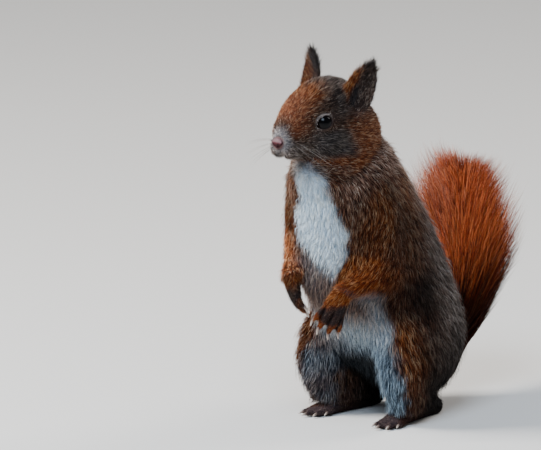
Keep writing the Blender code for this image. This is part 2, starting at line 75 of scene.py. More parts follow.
import bmesh
import bpy
import numpy as np
from mathutils import Vector, noise
from mathutils.bvhtree import BVHTree
from mathutils.kdtree import KDTree

CAD_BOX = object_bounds()
NODES = frame["nodes"]
MM = 0.001  # lengths below are in millimetres, and a mesh takes metres
UP = np.array((0.0, 0.0, 1.0))
SIDES = {"left": 1, "right": -1}
SLANT = (0.743, 0.669)  # left and back, for what is measured aslant across the body
chance = np.random.default_rng(20)

# ---------------------------------------------------------------- sizes

SKIN_VOXEL, TAIL_VOXEL = 0.55, 2
SKIN_TRIANGLES = 180000
SKIN_GROWTH = 0.25  # closes the gaps between neighbouring nodes
FINE_PARTS = ("head", "ear", "hand", "foot")  # these keep the skin's finest mesh
SKIN_SMOOTHING = 7  # in rounds, as the next four are
TRUNK_SMOOTHING = 45  # melts the arms and thighs into the trunk
FIELD_SMOOTHING = 22  # how far one stretch's hair runs into the next
SOFT_BORDER, CRISP_BORDER = 20, 4  # the same for their colours
CRISP_PARTS = ("ear", "hand", "foot", "tail")

# Each stretch of coat: its depth over the skin, its tufts' length, half width and lift in degrees,
# tufts to the square millimetre, and how far a tuft's tip is drawn to the tip of its lock.
COAT_FIELDS = ("depth", "length", "width", "lift", "density", "draw")
COAT = {
    "head": (0.8, 3.2, 0.16, 19, 4.1, 0.15),
    "ear": (0.1, 3.0, 0.15, 20, 5.0, 0.15),
    "neck": (1.8, 6.2, 0.16, 26, 2.8, 0.25),
    "chest": (2.3, 7.4, 0.16, 25, 2.4, 0.25),
    "abdomen": (2.2, 7.8, 0.17, 25, 2.1, 0.25),
    "upper_arm": (1.5, 5.6, 0.16, 24, 2.6, 0.25),
    "forearm": (0.9, 4.8, 0.15, 23, 3.2, 0.20),
    "hand": (0.1, 1.5, 0.12, 13, 6.5, 0.15),
    "thigh": (2.1, 7.6, 0.17, 25, 2.2, 0.25),
    "shin": (1.5, 6.8, 0.17, 26, 2.2, 0.25),
    "foot": (0.3, 2.2, 0.14, 16, 3.4, 0.15),
    "tail": (0.0, 9.0, 0.12, 45, 9.2, 0.32),
}
LOCK_SHARE = 0.18  # one tuft in so many starts a lock
SHORT_LOCK_SHARE = 0.28  # the same where the coat is short
BACK_TRIM = 2.2  # how much deeper the skin lies along the back, where the coat is fullest
# Where the hair is longer than its stretch's own: the added length, and the added lift in degrees.
LONGER = {
    "ear_tip": (2.2, 10), "far_hand": (1.2, 12), "wrist": (1.8, 6), "belly": (2.5, 20), "chin": (1.0, 5),
}
FLOOR_GAP = 0.2  # no hair goes lower than this
TAIL_WIDTH_SHARE = 0.88  # past this share of the model's half width, the tail's hair is gathered in
TAIL_GATHER = 0.6  # by this share of what lies beyond
TAIL_LEAN = (14, 50)  # degrees between the tail's hair and its flesh
TAIL_HAIR = (8, 70)  # its shortest and longest
ROOT_HAIR_CUT = 42  # how much shorter the longest is by the floor
OPEN_REACH = 14  # how far it reaches where it meets no outline
GUARD_SHARE = 0.12  # one tuft in so many is a longer guard hair
GUARD_GROWTH = (0.7, 1.3, 1.5)  # what its half width, length and lift are multiplied by
LENGTH_RANGE, LIFT_RANGE = (0.65, 1.15), (0.6, 1.5)  # how much tufts of one place differ
LOCK_PULL = (0.5, 1.3)  # and how differently they are drawn to their lock
SWIRL_SIZE, SWIRL_TURN = 14.0, 0.25  # how wide the coat's swirls are, and how far they turn it
ROOT_DEPTH = 0.25  # how far a tuft starts under the skin
BLUR = 0.5  # how far hairs of two colours stand in each other's patch
PATCH = 0.003  # how wide a tuft's patch is on the bake map

EYE_RADIUS = 5.0
EYE_OPENING = (4.4, 3.5)  # half length and half height between the lids
FRONT_CORNER = 0.12  # how much longer the opening is at its front corner
EYE_TURN = 62  # degrees that an eye looks out from straight ahead
CORNEA_RISE = 0.035  # how much fuller its middle is
LID_THICK = 0.40
LID_REACH = 8.5  # from the eye's middle to where its lids end
LIDS_BEHIND = -2.5  # how far ahead of the eye's middle they start
LID_FOLD = 0.40  # how high the fold stands round them
LID_MARGIN = 0.35  # no hair starts so near their edge
RIM_THICK = 0.20  # half of the bare rim
RIM_STEPS = 64
GROOVE_DEPTH = 2.2  # between the fingers
NOSE_BARE = 2.9  # no hair starts so near the middle of the nose
NOSE_SET_BACK = 0.1  # how far the pad lies back in the muzzle's fur
NOSE_SHIFT = 0.9  # and how far to the left
NOSE_VOXEL = 0.20
PAD_SINK = 1.3  # how much the skin gives way under it
NOSTRIL = (1.85, 0.48)  # how far round the pad's middle its slit runs, and half how wide it is
EAR_OPENS = {"left": (0.62, -0.78, 0.05), "right": (-0.2, -0.98, 0.05)}  # the way each ear's hollow faces
WHISKER_WIDTH = 0.07
WHISKER_LENGTHS = (17, 4.2, 4)  # the shortest, what each next one back adds, and how far chance changes it
WHISKER_SAG = 0.24
WHISKER_SWEEP = {1: 1.0, -1: 0.0}  # the left ones lie back along the cheek, the right ones stand out


def kind(name):
    """A node's name without its side or number, as in COAT."""
    return re.sub(r"_(left|right|\d)$", "", name)


def is_flesh(name):
    return kind(name) in COAT


def low(name):
    return np.array(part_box(name)[0]) / MM


def high(name):
    return np.array(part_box(name)[1]) / MM


def middle(name):
    return (low(name) + high(name)) / 2


def unit(v):
    return v / np.maximum(np.linalg.norm(v, axis=-1, keepdims=True), 1e-9)


def smooth_step(value):
    """0 below 0, 1 above 1 and a soft S between."""
    value = np.clip(value, 0, 1)
    return value * value * (3 - 2 * value)


def fade(value, start, reach):
    """0 up to the start and 1 a reach past it, or downwards where the reach is negative."""
    return smooth_step((value - start) / reach)


def ripple(points, size, seed=0):
    """Soft noise of about -1 to 1 at each point, with lumps of this size."""
    shift = Vector((seed * 7.3, seed * 3.1, seed * 5.7))
    return np.array([noise.noise(Vector(p) / size + shift) for p in points]) * 1.6


# ---------------------------------------------------------------- the head's own axes

NOSE = middle("nose")
EYES = {side: middle("eye_" + side) for side in SIDES}
LEFTWARD = unit((EYES["left"] - EYES["right"]) * (1, 1, 0))
BACKWARD = np.cross(UP, LEFTWARD)
PAD = NOSE + NOSE_SHIFT * LEFTWARD


def in_head(points):
    """Points as left, back and up of the nose."""
    away = points - NOSE
    return away @ LEFTWARD, away @ BACKWARD, away @ UP


def eye_axes(side):
    """Which way an eye looks, and the long and the short way of its opening."""
    turn = math.radians(EYE_TURN)
    look = unit(SIDES[side] * math.sin(turn) * LEFTWARD - math.cos(turn) * BACKWARD + 0.14 * UP)
    slant = BACKWARD + 0.36 * UP
    along = unit(slant - (slant @ look) * look)
    across = np.cross(look, along) * SIDES[side]
    return look, along, across


# ---------------------------------------------------------------- mesh helpers


def read(items, key, width, kind_of=np.float32):
    """A value of each of a mesh's items, so many numbers wide."""
    values = np.empty(len(items) * width, kind_of)
    items.foreach_get(key, values)
    return values.reshape(-1, width).astype(float if kind_of is np.float32 else int)


def new_object(name, mesh, material=None):
    piece = bpy.data.objects.new(name, mesh)
    bpy.context.scene.collection.objects.link(piece)
    if material:
        mesh.materials.append(material)
    return piece


def mesh_from(form, name):
    mesh = bpy.data.meshes.new(name)
    form.to_mesh(mesh)
    form.free()
    return mesh


def shown_mesh(piece):
    """The piece as it is shown, as a new mesh."""
    return bpy.data.meshes.new_from_object(piece.evaluated_get(bpy.context.evaluated_depsgraph_get()))


def finish_piece(piece, kind_of, **settings):
    """The piece's mesh with this modifier applied."""
    modifier = piece.modifiers.new(kind_of.lower(), kind_of)
    for key, value in settings.items():
        setattr(modifier, key, value)
    mesh = shown_mesh(piece)
    piece.modifiers.clear()
    piece.data = mesh
    return mesh


def new_cord(name, thick, kind_of, knots):
    """A round cord with no line yet: its object, and a spline of so many knots for its line."""
    curve = bpy.data.curves.new(name, "CURVE")
    curve.dimensions = "3D"
    curve.bevel_depth = thick * MM
    curve.bevel_resolution = 3
    spline = curve.splines.new(kind_of)
    (spline.points if kind_of == "POLY" else spline.bezier_points).add(knots - 1)
    holder = bpy.data.objects.new(name, curve)
    bpy.context.scene.collection.objects.link(holder)
    return holder, spline


def cord_mesh(holder):
    """The cord as a mesh, and its object removed."""
    mesh = shown_mesh(holder)
    bpy.data.objects.remove(holder)
    return mesh


def surface_tree(mesh):
    """A tree that finds places on a mesh, in metres."""
    form = bmesh.new()
    form.from_mesh(mesh)
    tree = BVHTree.FromBMesh(form)
    form.free()
    return tree


def set_points(mesh, points):
    mesh.vertices.foreach_set("co", (points * MM).astype(np.float32).ravel())
    mesh.update()


def points_of(mesh):
    return read(mesh.vertices, "co", 3) / MM


def normals_of(mesh):
    return read(mesh.vertex_normals, "vector", 3)


def edges_of(mesh):
    return read(mesh.edges, "vertices", 2, np.int32)


def spread(values, edges, rounds):
    """Values at a mesh's points, evened out with their neighbours' so many times."""
    a, b = edges.T
    count = len(values)
    share = np.bincount(a, minlength=count) + np.bincount(b, minlength=count) + 1
    columns = values.reshape(count, -1).T.copy()
    for _ in range(rounds):
        columns = [
            (c + np.bincount(a, c[b], count) + np.bincount(b, c[a], count)) / share for c in columns
        ]
    return np.array(columns).T.reshape(values.shape)


def even_out(points, edges, rounds):
    """The points smoothed, with what the broad forms lost in it given back."""
    soft = spread(points, edges, rounds)
    return soft + spread(points - soft, edges, rounds)


def add_values(mesh, **values):
    """Stores named values at the mesh's points, for its material."""
    for name, value in values.items():
        layer = mesh.attributes.new(name, "FLOAT", "POINT")
        layer.data.foreach_set("value", value.astype(np.float32))


def joined_nodes(names, growth):
    """Copies of CAD nodes in one bmesh, their loose triangles joined, each grown a little."""
    form = bmesh.new()
    for name in names:
        form.from_mesh(NODES[name].data)
    bmesh.ops.remove_doubles(form, verts=form.verts, dist=1e-6)
    form.normal_update()
    for corner in form.verts:
        corner.co += corner.normal * growth * MM
    return form


def nearest_node(points, names):
    """The index in names of the node nearest to each point."""
    corners, faces, owner = [], [], []
    for index, name in enumerate(names):
        mesh = NODES[name].data
        start = len(corners)
        corners += [v.co.copy() for v in mesh.vertices]
        faces += [tuple(start + i for i in face.vertices) for face in mesh.polygons]
        owner += [index] * len(mesh.polygons)
    tree = BVHTree.FromPolygons(corners, faces)
    return np.array([owner[tree.find_nearest(Vector(p) * MM)[2]] for p in points])


# ---------------------------------------------------------------- the skin


def tail_path():
    """The middle line of the tail's flesh, from inside the rump to near its tip, with its radius."""
    rump = middle("tail_1")
    return [
        (rump + (0, -16, 2), 6.0),
        (rump + (0, 4, 1), 5.2),
        (np.array((middle("tail_2")[0], middle("tail_2")[1] - 3, low("tail_2")[2] + 2)), 4.4),
        (middle("tail_2"), 4.0),
        (middle("tail_3"), 3.2),
        (middle("tail_4") + (0, 0, -4), 2.2),
        (middle("tail_4") + (0, 1, 6), 1.0),
    ]


def tail_flesh():
    """The slender core of the tail as a mesh in metres."""
    path = tail_path()
    holder, spline = new_cord("tail_line", 1, "BEZIER", len(path))
    holder.data.use_fill_caps = True
    for knot, (place, radius) in zip(spline.bezier_points, path):
        knot.co = place * MM
        knot.radius = radius
        knot.handle_left_type = knot.handle_right_type = "AUTO"
    return cord_mesh(holder)


def raw_skin():
    """The flesh's outer surface as one even mesh, still out at the tips of the coat."""
    body = [n for n in NODES if is_flesh(n) and kind(n) != "tail"]
    form = joined_nodes(body + ["eye_left", "eye_right", "nose"], SKIN_GROWTH)
    form.from_mesh(tail_flesh())
    skin = new_object("skin", mesh_from(form, "skin"))
    finish_piece(skin, "REMESH", mode="VOXEL", voxel_size=SKIN_VOXEL * MM)
    thin_trunk(skin)
    return skin


def thin_trunk(skin):
    """Takes triangles away where the coat is long and hides them."""
    points = points_of(skin.data)
    fine = np.zeros(len(points), bool)
    for name in NODES:
        if kind(name) in FINE_PARTS:
            fine |= ((points > low(name) - 1.5) & (points < high(name) + 1.5)).all(axis=1)
    coarse = skin.vertex_groups.new(name="coarse")
    coarse.add(np.flatnonzero(~fine).tolist(), 1.0, "REPLACE")
    share = SKIN_TRIANGLES / (2 * len(skin.data.polygons))
    finish_piece(skin, "DECIMATE", ratio=share, vertex_group="coarse")
    skin.vertex_groups.clear()


def refine(mesh, wanted):
    """Splits the faces whose middle is wanted in four."""
    form = bmesh.new()
    form.from_mesh(mesh)
    faces = [face for face in form.faces if wanted(face.calc_center_median() / MM)]
    chosen = {edge for face in faces for edge in face.edges}
    bmesh.ops.subdivide_edges(form, edges=list(chosen), cuts=1, use_grid_fill=True)
    form.to_mesh(mesh)
    form.free()


def near_eye(place):
    place = np.array(place)
    return min(np.linalg.norm(place - EYES[side]) for side in SIDES) < LID_REACH


def front_corner(angle):
    """How much further out the edge of the lids lies at this angle, for their front corner."""
    return 1 + FRONT_CORNER * np.clip(-np.cos(angle), 0, 1) ** 8


def from_lids(points, side):
    """How far points lie ahead of an eye and from its axis, how far out the lids' edge is, and the angle."""
    look, along, across = eye_axes(side)
    away = points - EYES[side]
    ahead, x, y = away @ look, away @ along, away @ across
    long, high_up = EYE_OPENING
    angle = np.arctan2(y / high_up, x / long)
    rim = front_corner(angle) / np.sqrt((np.cos(angle) / long) ** 2 + (np.sin(angle) / high_up) ** 2)
    return ahead, np.hypot(x, y), rim, angle


def shape_lids(points):
    """Draws the skin round each eyeball into lids, and hides what lies in the opening."""
    for side in SIDES:
        look = eye_axes(side)[0]
        ahead, radius, rim, angle = from_lids(points, side)
        near = (radius < LID_REACH) & (ahead > LIDS_BEHIND)
        lid_ball = EYE_RADIUS + LID_THICK
        lid_height = np.sqrt(np.maximum(lid_ball**2 - np.minimum(radius, lid_ball * 0.97) ** 2, 0))
        lid_share = 1 - fade(radius, rim, LID_REACH - rim)
        fold = LID_FOLD * np.exp(-(((radius - rim - 1.0) / 0.6) ** 2)) * (0.6 + 0.4 * np.sin(angle))
        height = np.where(radius < rim, 0.0, ahead + (lid_height - ahead) * lid_share**1.5 + fold)
        points = np.where(near[:, None], points + (height - ahead)[:, None] * look, points)
    return points


def finger_gaps(points):
    """How much each point lies between two fingers, how far out of the hand, and which way out is."""
    groove, out_by = np.zeros((2, len(points)))
    out_way = np.zeros((len(points), 3))
    for side in SIDES:
        ends = np.array([middle(f"claw_hand_{side}_{number}") for number in range(1, 5)])
        base = ends.mean(axis=0)
        along = unit(base - middle("hand_" + side))
        across = ends[-1] - ends[0]
        across = unit(across - (across @ along) * along)
        out = np.cross(along, across)
        away = points - base
        places = (ends - base) @ across
        gaps = (places[1:] + places[:-1]) / 2
        nearest = np.abs((away @ across)[:, None] - gaps).min(axis=1)
        here = np.linalg.norm(away, axis=1) < 22
        depth = np.exp(-((nearest / 0.7) ** 2)) * smooth_step((away @ along + 14) / 4)
        centre = ((middle("hand_" + side) - base) @ out) * 0.5
        groove = np.where(here, depth, groove)
        out_by = np.where(here, away @ out - centre, out_by)
        out_way[here] = out
    return groove, out_by, out_way


def shape_fingers(points, owned):
    """Sinks a groove between each two fingers, on the back and on the palm."""
    groove, out_by, out_way = finger_gaps(points)
    sunk = np.clip(GROOVE_DEPTH * groove * owned, 0, 0.75 * np.abs(out_by))
    return points - (np.sign(out_by) * sunk)[:, None] * out_way


def coat_fields(names, owner, edges):
    """The COAT values at the skin's points, and how far each point belongs to each stretch."""
    fields = {}
    for column, field in enumerate(COAT_FIELDS):
        table = np.array([COAT[kind(n)][column] for n in names])
        fields[field] = spread(table[owner], edges, FIELD_SMOOTHING)
    for part in COAT:
        table = np.array([float(kind(n) == part) for n in names])
        fields[part] = spread(table[owner], edges, CRISP_BORDER if part in CRISP_PARTS else SOFT_BORDER)
    return fields


def lengthen(fields, name, where):
    """Makes the hair longer and lifts it where this place of LONGER is."""
    length, lift = LONGER[name]
    fields["length"] += length * where
    fields["lift"] += lift * where


def lengthen_places(points, fields):
    """The ears' tips, the far hand, the wrists and the side of the belly that hangs between the hands."""
    x, y, z = points.T
    lengthen(fields, "ear_tip", fields["ear"] * fade(z, 192, 8))
    lengthen(fields, "far_hand", fields["hand"] * (x < NOSE[0]))
    for side in SIDES:
        hand = "hand_" + side
        wrist = fields["hand"] * (np.abs(x - middle(hand)[0]) < 14)
        lengthen(fields, "wrist", wrist * fade(z - low(hand)[2], 15, 6))
    belly = (fields["abdomen"] + fields["chest"]) * fade(x, 6, -8) * fade(z, 88, -8) * fade(z, 56, 8)
    lengthen(fields, "belly", belly * (y < -20))


def deepen_back(points, normals, fields, edges):
    """Lets the skin lie deeper where the full coat of the back and the flanks' rear hides it."""
    rear = SLANT[1] * normals[:, 1] + SLANT[0] * np.abs(normals[:, 0]) * (points[:, 1] > -20)
    rear = spread(fade(rear, 0.5, 0.4) * fade(points[:, 2], 78, 20), edges, 12)
    fields["depth"] += BACK_TRIM * rear * (1 - fields["head"]) * (1 - fields["ear"]) * (1 - fields["tail"])


def make_skin():
    """The skin's object, and what each of its points is like."""
    skin = raw_skin()
    mesh = skin.data
    refine(mesh, near_eye)
    edges = edges_of(mesh)
    points = even_out(points_of(mesh), edges, SKIN_SMOOTHING)
    names = sorted(n for n in NODES if is_flesh(n))
    owner = nearest_node(points, names)
    fine = np.array([kind(n) in (*FINE_PARTS, "tail") for n in names])[owner].astype(float)
    trunk = smooth_step(1 - 1.4 * spread(fine, edges, 6))[:, None]
    points = points + trunk * (even_out(points, edges, TRUNK_SMOOTHING) - points)
    set_points(mesh, points)
    fields = coat_fields(names, owner, edges)
    lengthen_places(points, fields)
    deepen_back(points, normals_of(mesh), fields, edges)
    fields["flow"] = spread(flow_at(points, names, owner), edges, FIELD_SMOOTHING)
    shorten_on_face(points, fields)
    points = spread(points - normals_of(mesh) * fields["depth"][:, None], edges, 3)
    points = shape_lids(shape_fingers(points, fields["hand"]))
    under_pad = fade(np.linalg.norm(points - PAD, axis=1), 4.4, -1.4)
    points = points + (PAD_SINK * under_pad)[:, None] * BACKWARD
    set_points(mesh, points)
    mesh.shade_smooth()
    return skin, fields


def shorten_on_face(points, fields):
    """Makes the coat shortest round the nose and the eyes, and a little longer under the chin."""
    _, back, up = in_head(points)
    off_muzzle = fade(back, 2, 30) * fields["head"] + (1 - fields["head"])
    for field, on_muzzle in {"length": 0.66, "width": 0.80, "depth": 0.45, "density": 1.5}.items():
        fields[field] *= on_muzzle + (1 - on_muzzle) * off_muzzle
    lengthen(fields, "chin", fields["head"] * fade(up, -6.5, -3) * fade(back, 30, -8))
    for side in SIDES:
        distance = np.linalg.norm(points - EYES[side], axis=1)
        fields["length"] *= 0.45 + 0.55 * fade(distance, EYE_RADIUS + 0.9, 3.5)


# ---------------------------------------------------------------- the lie of the coat


# Which way the hair of a stretch lies, as outwards, back and up: elsewhere it lies nearly straight down.
LIE = {
    "ear": (0.45, 0.25, 1.0), "foot": (0.0, -1.0, -0.1), "shin": (0.25, -0.25, -1.0),
    "tail": (0.0, 0.2, 1.0), "neck": (0.0, 0.35, -1.0),
}
DOWN = (0.0, 0.12, -1.0)


def flow_at(points, names, owner):
    """Which way the hair lies at each point, before it is laid on the skin."""
    table = []
    for name in names:
        part, side = kind(name), name.rsplit("_", 1)[-1]
        way = np.array(LIE.get(part, DOWN)) * (SIDES.get(side, 1), 1, 1)
        if part == "upper_arm":
            way = middle("forearm_" + side) - middle(name)
        elif part in ("forearm", "hand"):
            way = middle("hand_" + side) - middle("forearm_" + side)
            way = way + (0, 0, -12 if part == "hand" else 4)
        table.append(unit(way))
    flow = np.array(table)[owner]
    on_head = np.array([kind(n) == "head" for n in names])[owner]
    away = unit(points - NOSE) + (0, 0.9, -0.25)
    return np.where(on_head[:, None], unit(away), flow)


def ear_middle(side):
    """The middle line of an ear, from its root to its tip, and the way it opens."""
    low_end, high_end = low("ear_" + side), high("ear_" + side)
    lean = 0.32 * SIDES[side] * (high_end - low_end)[0]
    half_way = np.array((lean, 0, (high_end - low_end)[2] / 2))
    centre = (low_end + high_end) / 2
    return centre - half_way, centre + half_way, unit(np.array(EAR_OPENS[side]))


def ear_edge(points):
    """1 at the front edge of an ear, and 0 from its middle line back."""
    front = np.zeros(len(points))
    for side in SIDES:
        root, tip, opens = ear_middle(side)
        over = unit(np.cross(tip - root, opens))
        over = over if over[:2] @ SLANT < 0 else -over
        line = unit(tip - root)
        away = points - root
        away = away - (away @ line)[:, None] * line
        front = np.maximum(front, fade(away @ over, -1.0, 2.2) * (np.linalg.norm(away, axis=1) < 16))
    return front


def in_conch(points):
    """How deep each point lies in the hollow of an ear, from 0 to 1."""
    deep = np.zeros(len(points))
    for side in SIDES:
        root, tip, opens = ear_middle(side)
        line = tip - root
        share = ((points - root) @ line) / (line @ line)
        away = points - root - share[:, None] * line
        out = away @ opens
        wide = np.linalg.norm(away - out[:, None] * opens, axis=1)
        here = smooth_step((3.9 * (1.05 - share) - wide) / 1.6) * fade(share, 0.62, -0.2)
        here *= fade(share, 0, 0.12) * (np.abs(out) < 8)
        deep = np.maximum(deep, here)
    return deep


# ---------------------------------------------------------------- the markings

# The line of the mouth, as left, back and up of the nose.
MOUTH = ((0, 1.6, -5.5), (2.5, 3.5, -8.3), (5.5, 8, -10.3), (7.5, 14, -11), (8, 17.5, -10.6))


def from_mouth(left, back, up):
    """How far each point lies from the line of the mouth."""
    points = np.stack((np.abs(left), back, up), axis=1)
    nearest = np.full(len(points), 99.0)
    for start, end in zip(MOUTH, MOUTH[1:]):
        start, step = np.array(start), np.subtract(end, start)
        share = np.clip((points - start) @ step / (step @ step), 0, 1)
        nearest = np.minimum(nearest, np.linalg.norm(points - start - share[:, None] * step, axis=1))
    return nearest


# At each height, how far the white front's edge reaches aslant across a side, and its middle line leftwards.
WHITE_HEIGHTS = (8, 18, 31, 42, 52, 63, 74, 84, 92, 97, 103, 110, 122, 134, 140, 144, 148, 152)
WHITE_EDGES = (11, 12, 10, 8, 5, 3, 1, -4, -14, -21, -21.3, -20.4, -23.5, -33.5, -35.2, -35.5, -36.4, -37.5)
MIDDLE_HEIGHTS = (60, 98, 110, 122, 134, 140, 144, 148, 152)
WHITE_MIDDLE = (1.5, 3.3, 2.6, 3.0, 6.0, 4.6, 3.2, -0.3, -3.0)

# At each height, how bright the trunk's and the legs' hair is: 0.5 is its colour as it stands. It gets darker
# towards the floor, partly its own colour and partly painted shade.
TONE_HEIGHTS = (10, 40, 60, 80, 100, 118, 135, 150)
TONES = (0.09, 0.13, 0.18, 0.13, 0.18, 0.24, 0.43, 0.54)

# The patches of the coat: the stretch or patch that each lies on, and what it fades in over, as a measure of
# measured(), where it starts and how much further on it is full. It fades downwards where that is negative.
PATCHES = {
    # painted shade: the white belly between the arms turned tan-brown where it lies in shade
    "below_bib": ("off_leg", ("bib_line", 100, -6), ("z", 56, 14), ("x", 24, -8)),
    # painted shade: the white front dimmed below the chest, most on the belly
    "low_front": ("all", ("z", 94, -14)),
    # painted shade under the head: the top of the white front dimmed, most at the throat
    "chest_top": ("all", ("z", 127, 14)),
    "throat_shade": ("all", ("z", 140, 9)),
    "under_chin": ("all", ("up", -12, -3), ("up", -24, 3), ("y", -44, -6)),
    "neck_front": ("neck", ("y", -20, -14)),
    "shoulder": ("off_head", ("x", -4, -8), ("y", -18, -12), ("z", 96, 14)),
    "arm_side": ("off_head", ("arm_line", 12.5, 3), ("z", 106, -6), ("z", 80, 4), ("y", -30, -8)),
    "arm_front": ("upper_arm", ("y", -18, -16)),
    "elbow": ("upper_arm", ("z", 112, -26)),
    # painted light: the far arm, on the lit side, made far brighter than the near arm
    "far_arm": ("arm", ("x", -8, -6), ("z", 114, -10), ("z", 80, 6)),
    # painted shade: the flanks below the arms darkened
    "flank": ("off_limbs", ("side", 20, 7), ("z", 90, -9), ("z", 57, 13), ("y", 10, -14), ("y", -34, 8)),
    # painted shade: the far leg's white dimmed
    "far_leg": ("leg", ("x", 2, -8)),
    "thigh_front": ("leg", ("y", -2, -12), ("z", 40, 14)),
    "leg_side": ("leg", ("side", 24, 8), ("y", 6, -14)),
    # painted shade: dark between the legs
    "between_legs": ("all", ("z", 48, -11), ("x", -19, 5), ("x", 15, -4), ("y", -24, 8)),
    # painted shade: the lower trunk and legs darkened towards the floor
    "hem": ("trunk", ("z", 42, -30)),
    "rump": ("trunk", ("y", 2, 12), ("z", 40, 20), ("z", 100, -16)),
    # partly real pale tips, partly a painted sheen of light along the back
    "spine": ("trunk", ("ragged_back", -14, 34)),
    "tail_grey": ("tail", ("ragged_left", 3, -14), ("z", 60, 30)),
    "brow": ("head", ("out", 13, -6), ("behind_nose", 2.5, 5), ("up", 1, 5), ("ragged_brow", 36, -20)),
    "brow_front": ("brow", ("behind_nose", 24, -10)),
    "muzzle": ("head", ("from_nose", 11, -6)),
    "snout": ("head", ("ragged_snout", 9.5, -5)),
    "lip": ("head", ("up", 1, -3), ("behind_nose", 19, -8)),
    "mouth": ("head", ("from_mouth", 1.28, -0.8)),
    "cheek": ("head", ("behind_nose", 12, 8), ("up", 7, -5), ("up", -12, 6), ("behind_nose", 44, -10)),
    "cheek_back": ("cheek", ("behind_nose", 18, 8)),
    "jowl": ("head", ("behind_nose", 14, 10), ("up", -5, -6)),
    "nape": ("head", ("behind_nose", 33, 8), ("up", 20, -8)),
    "crown": ("head", ("behind_nose", 26, 12), ("up", 8, 6)),
    "temple": ("head", ("out", 8, 4), ("behind_nose", 20, 8), ("up", 4, 5)),
    "ear_glow": ("ear_front", ("z", 203, -7)),
    "ear_top": ("ear", ("z", 186, 12)),
    "ear_tip": ("ear", ("z", 196, 8)),
}

# How strongly each patch or stretch takes on a kind of hair.
RUFOUS = {
    "warm": 1, "border": 0.60, "shoulder": 0.75, "thigh_front": 0.80, "leg_side": 0.60, "brow": 0.88,
    "jowl": 0.55, "nape": 0.45, "ear_glow": 0.95, "forearm": 1, "far_arm": 1, "arm_front": 0.8,
    "arm_side": 0.9, "bib_hem": 0.55, "elbow": 0.75, "foot": 0.6, "shin": 0.25, "neck_front": 0.45,
}
DARK = {
    # painted shade: the flanks below the arms, between the legs, low on the trunk and legs, and between the
    # fingers
    "flank": 0.60, "between_legs": 0.9, "hem": 0.66, "arm_back": 0.25, "finger_gaps": 1,
    # painted shade: the hollows of the ears
    "knuckle_hair": 1, "crown": 0.30, "temple": 0.30, "ear_tip": 0.85, "far_ear": 0.85, "conch": 0.92,
    "ear_back": 0.45, "mouth": 0.9, "cheek_back": 0.62,
}
PALE = {
    # the back's pale tips here are partly painted sheen
    "muzzle": 0.68, "lip": 0.62, "far_arm": 0.12, "cheek": 0.75, "crown": 0.45, "spine": 0.72,
    "neck_side": 0.35, "bib_hem": 0.35, "brow_front": 0.15, "under_chin": 0.10, "chin_grey": 0.45,
}


def strongest(at, shares):
    """The most that any of these patches takes on."""
    return np.maximum.reduce([share * getattr(at, name) for name, share in shares.items()])


def measured(points, fields):
    """The fields at each point and, by name, its place, soft noise and the patches that it lies in."""
    at = SimpleNamespace(**fields)
    x, y, z = at.x, at.y, at.z = points.T
    left, back, up = in_head(points)
    at.behind_nose, at.up = back, up
    wander, broad = at.wander, at.broad = ripple(points, 6.0, 1), ripple(points, 16.0, 2)
    at.side, at.out = np.abs(x), np.abs(left)
    at.bib_line, at.arm_line = z + 0.7 * x - 3 * wander, x - 0.5 * (z - 94)
    at.ragged_left, at.ragged_back, at.ragged_brow = x - 6 * broad, y + 6 * broad, back - 6 * wander
    at.ragged_snout = np.sqrt(left**2 + (0.8 * back) ** 2 + up**2) - 2 * wander
    at.from_nose = np.sqrt(left**2 + back**2 + (up + 1) ** 2)
    at.from_mouth = from_mouth(left, back, up)
    at.arm = np.clip(at.upper_arm + at.forearm + at.hand, 0, 1)
    at.leg = np.clip(at.thigh + at.shin, 0, 1)
    at.all = np.ones(len(points))
    at.off_head, at.off_leg = 1 - at.head, 1 - at.leg
    at.off_limbs = (1 - at.arm) * at.off_head
    throat = fade(up, -11, -3) * (back < 34)
    at.trunk = (1 - at.head * (1 - throat)) * (1 - at.ear) * (1 - at.arm) * (1 - at.tail)
    edge = ear_edge(points)
    at.ear_front, at.ear_back = at.ear * edge, at.ear * (1 - edge)
    # Painted shade: the hollow of each ear darkened.
    at.conch = at.ear * in_conch(points)
    for name, (stretch, *fades) in PATCHES.items():
        share = getattr(at, stretch)
        for measure, start, reach in fades:
            share = share * fade(getattr(at, measure), start, reach)
        setattr(at, name, share)
    return at


def mark_hands(points, at):
    """Adds the dark knuckles, painted shade in the gaps between the fingers, and their rufous tips."""
    tips, knuckles = np.zeros((2, len(points)))
    gaps = finger_gaps(points)[0]
    for side, sign in SIDES.items():
        hand = "hand_" + side
        own = at.hand * smooth_step(sign * (at.x - NOSE[0]) / 2 + 0.5)
        palm = fade(at.y, middle(hand)[1] + 1.5, 4)
        knuckles += own * (1 - 0.75 * palm) * fade(at.z - 2.5 * at.wander, low(hand)[2] + 19, -6)
        for number in range(1, 5):
            end = middle(f"claw_{hand}_{number}") + (0, 0, 2)
            distance = np.linalg.norm(points - end, axis=1) - 0.8 * at.wander
            tips = np.maximum(tips, own * (1 - 0.8 * gaps) * fade(distance, 6.2, -2.5))
    at.tips, at.knuckles = tips, knuckles
    # Painted shade: the gaps between the fingers darkened.
    at.finger_gaps = gaps * at.hand
    at.knuckle_hair = (0.80 + 0.15 * at.wander) * knuckles * (1 - 0.95 * tips)


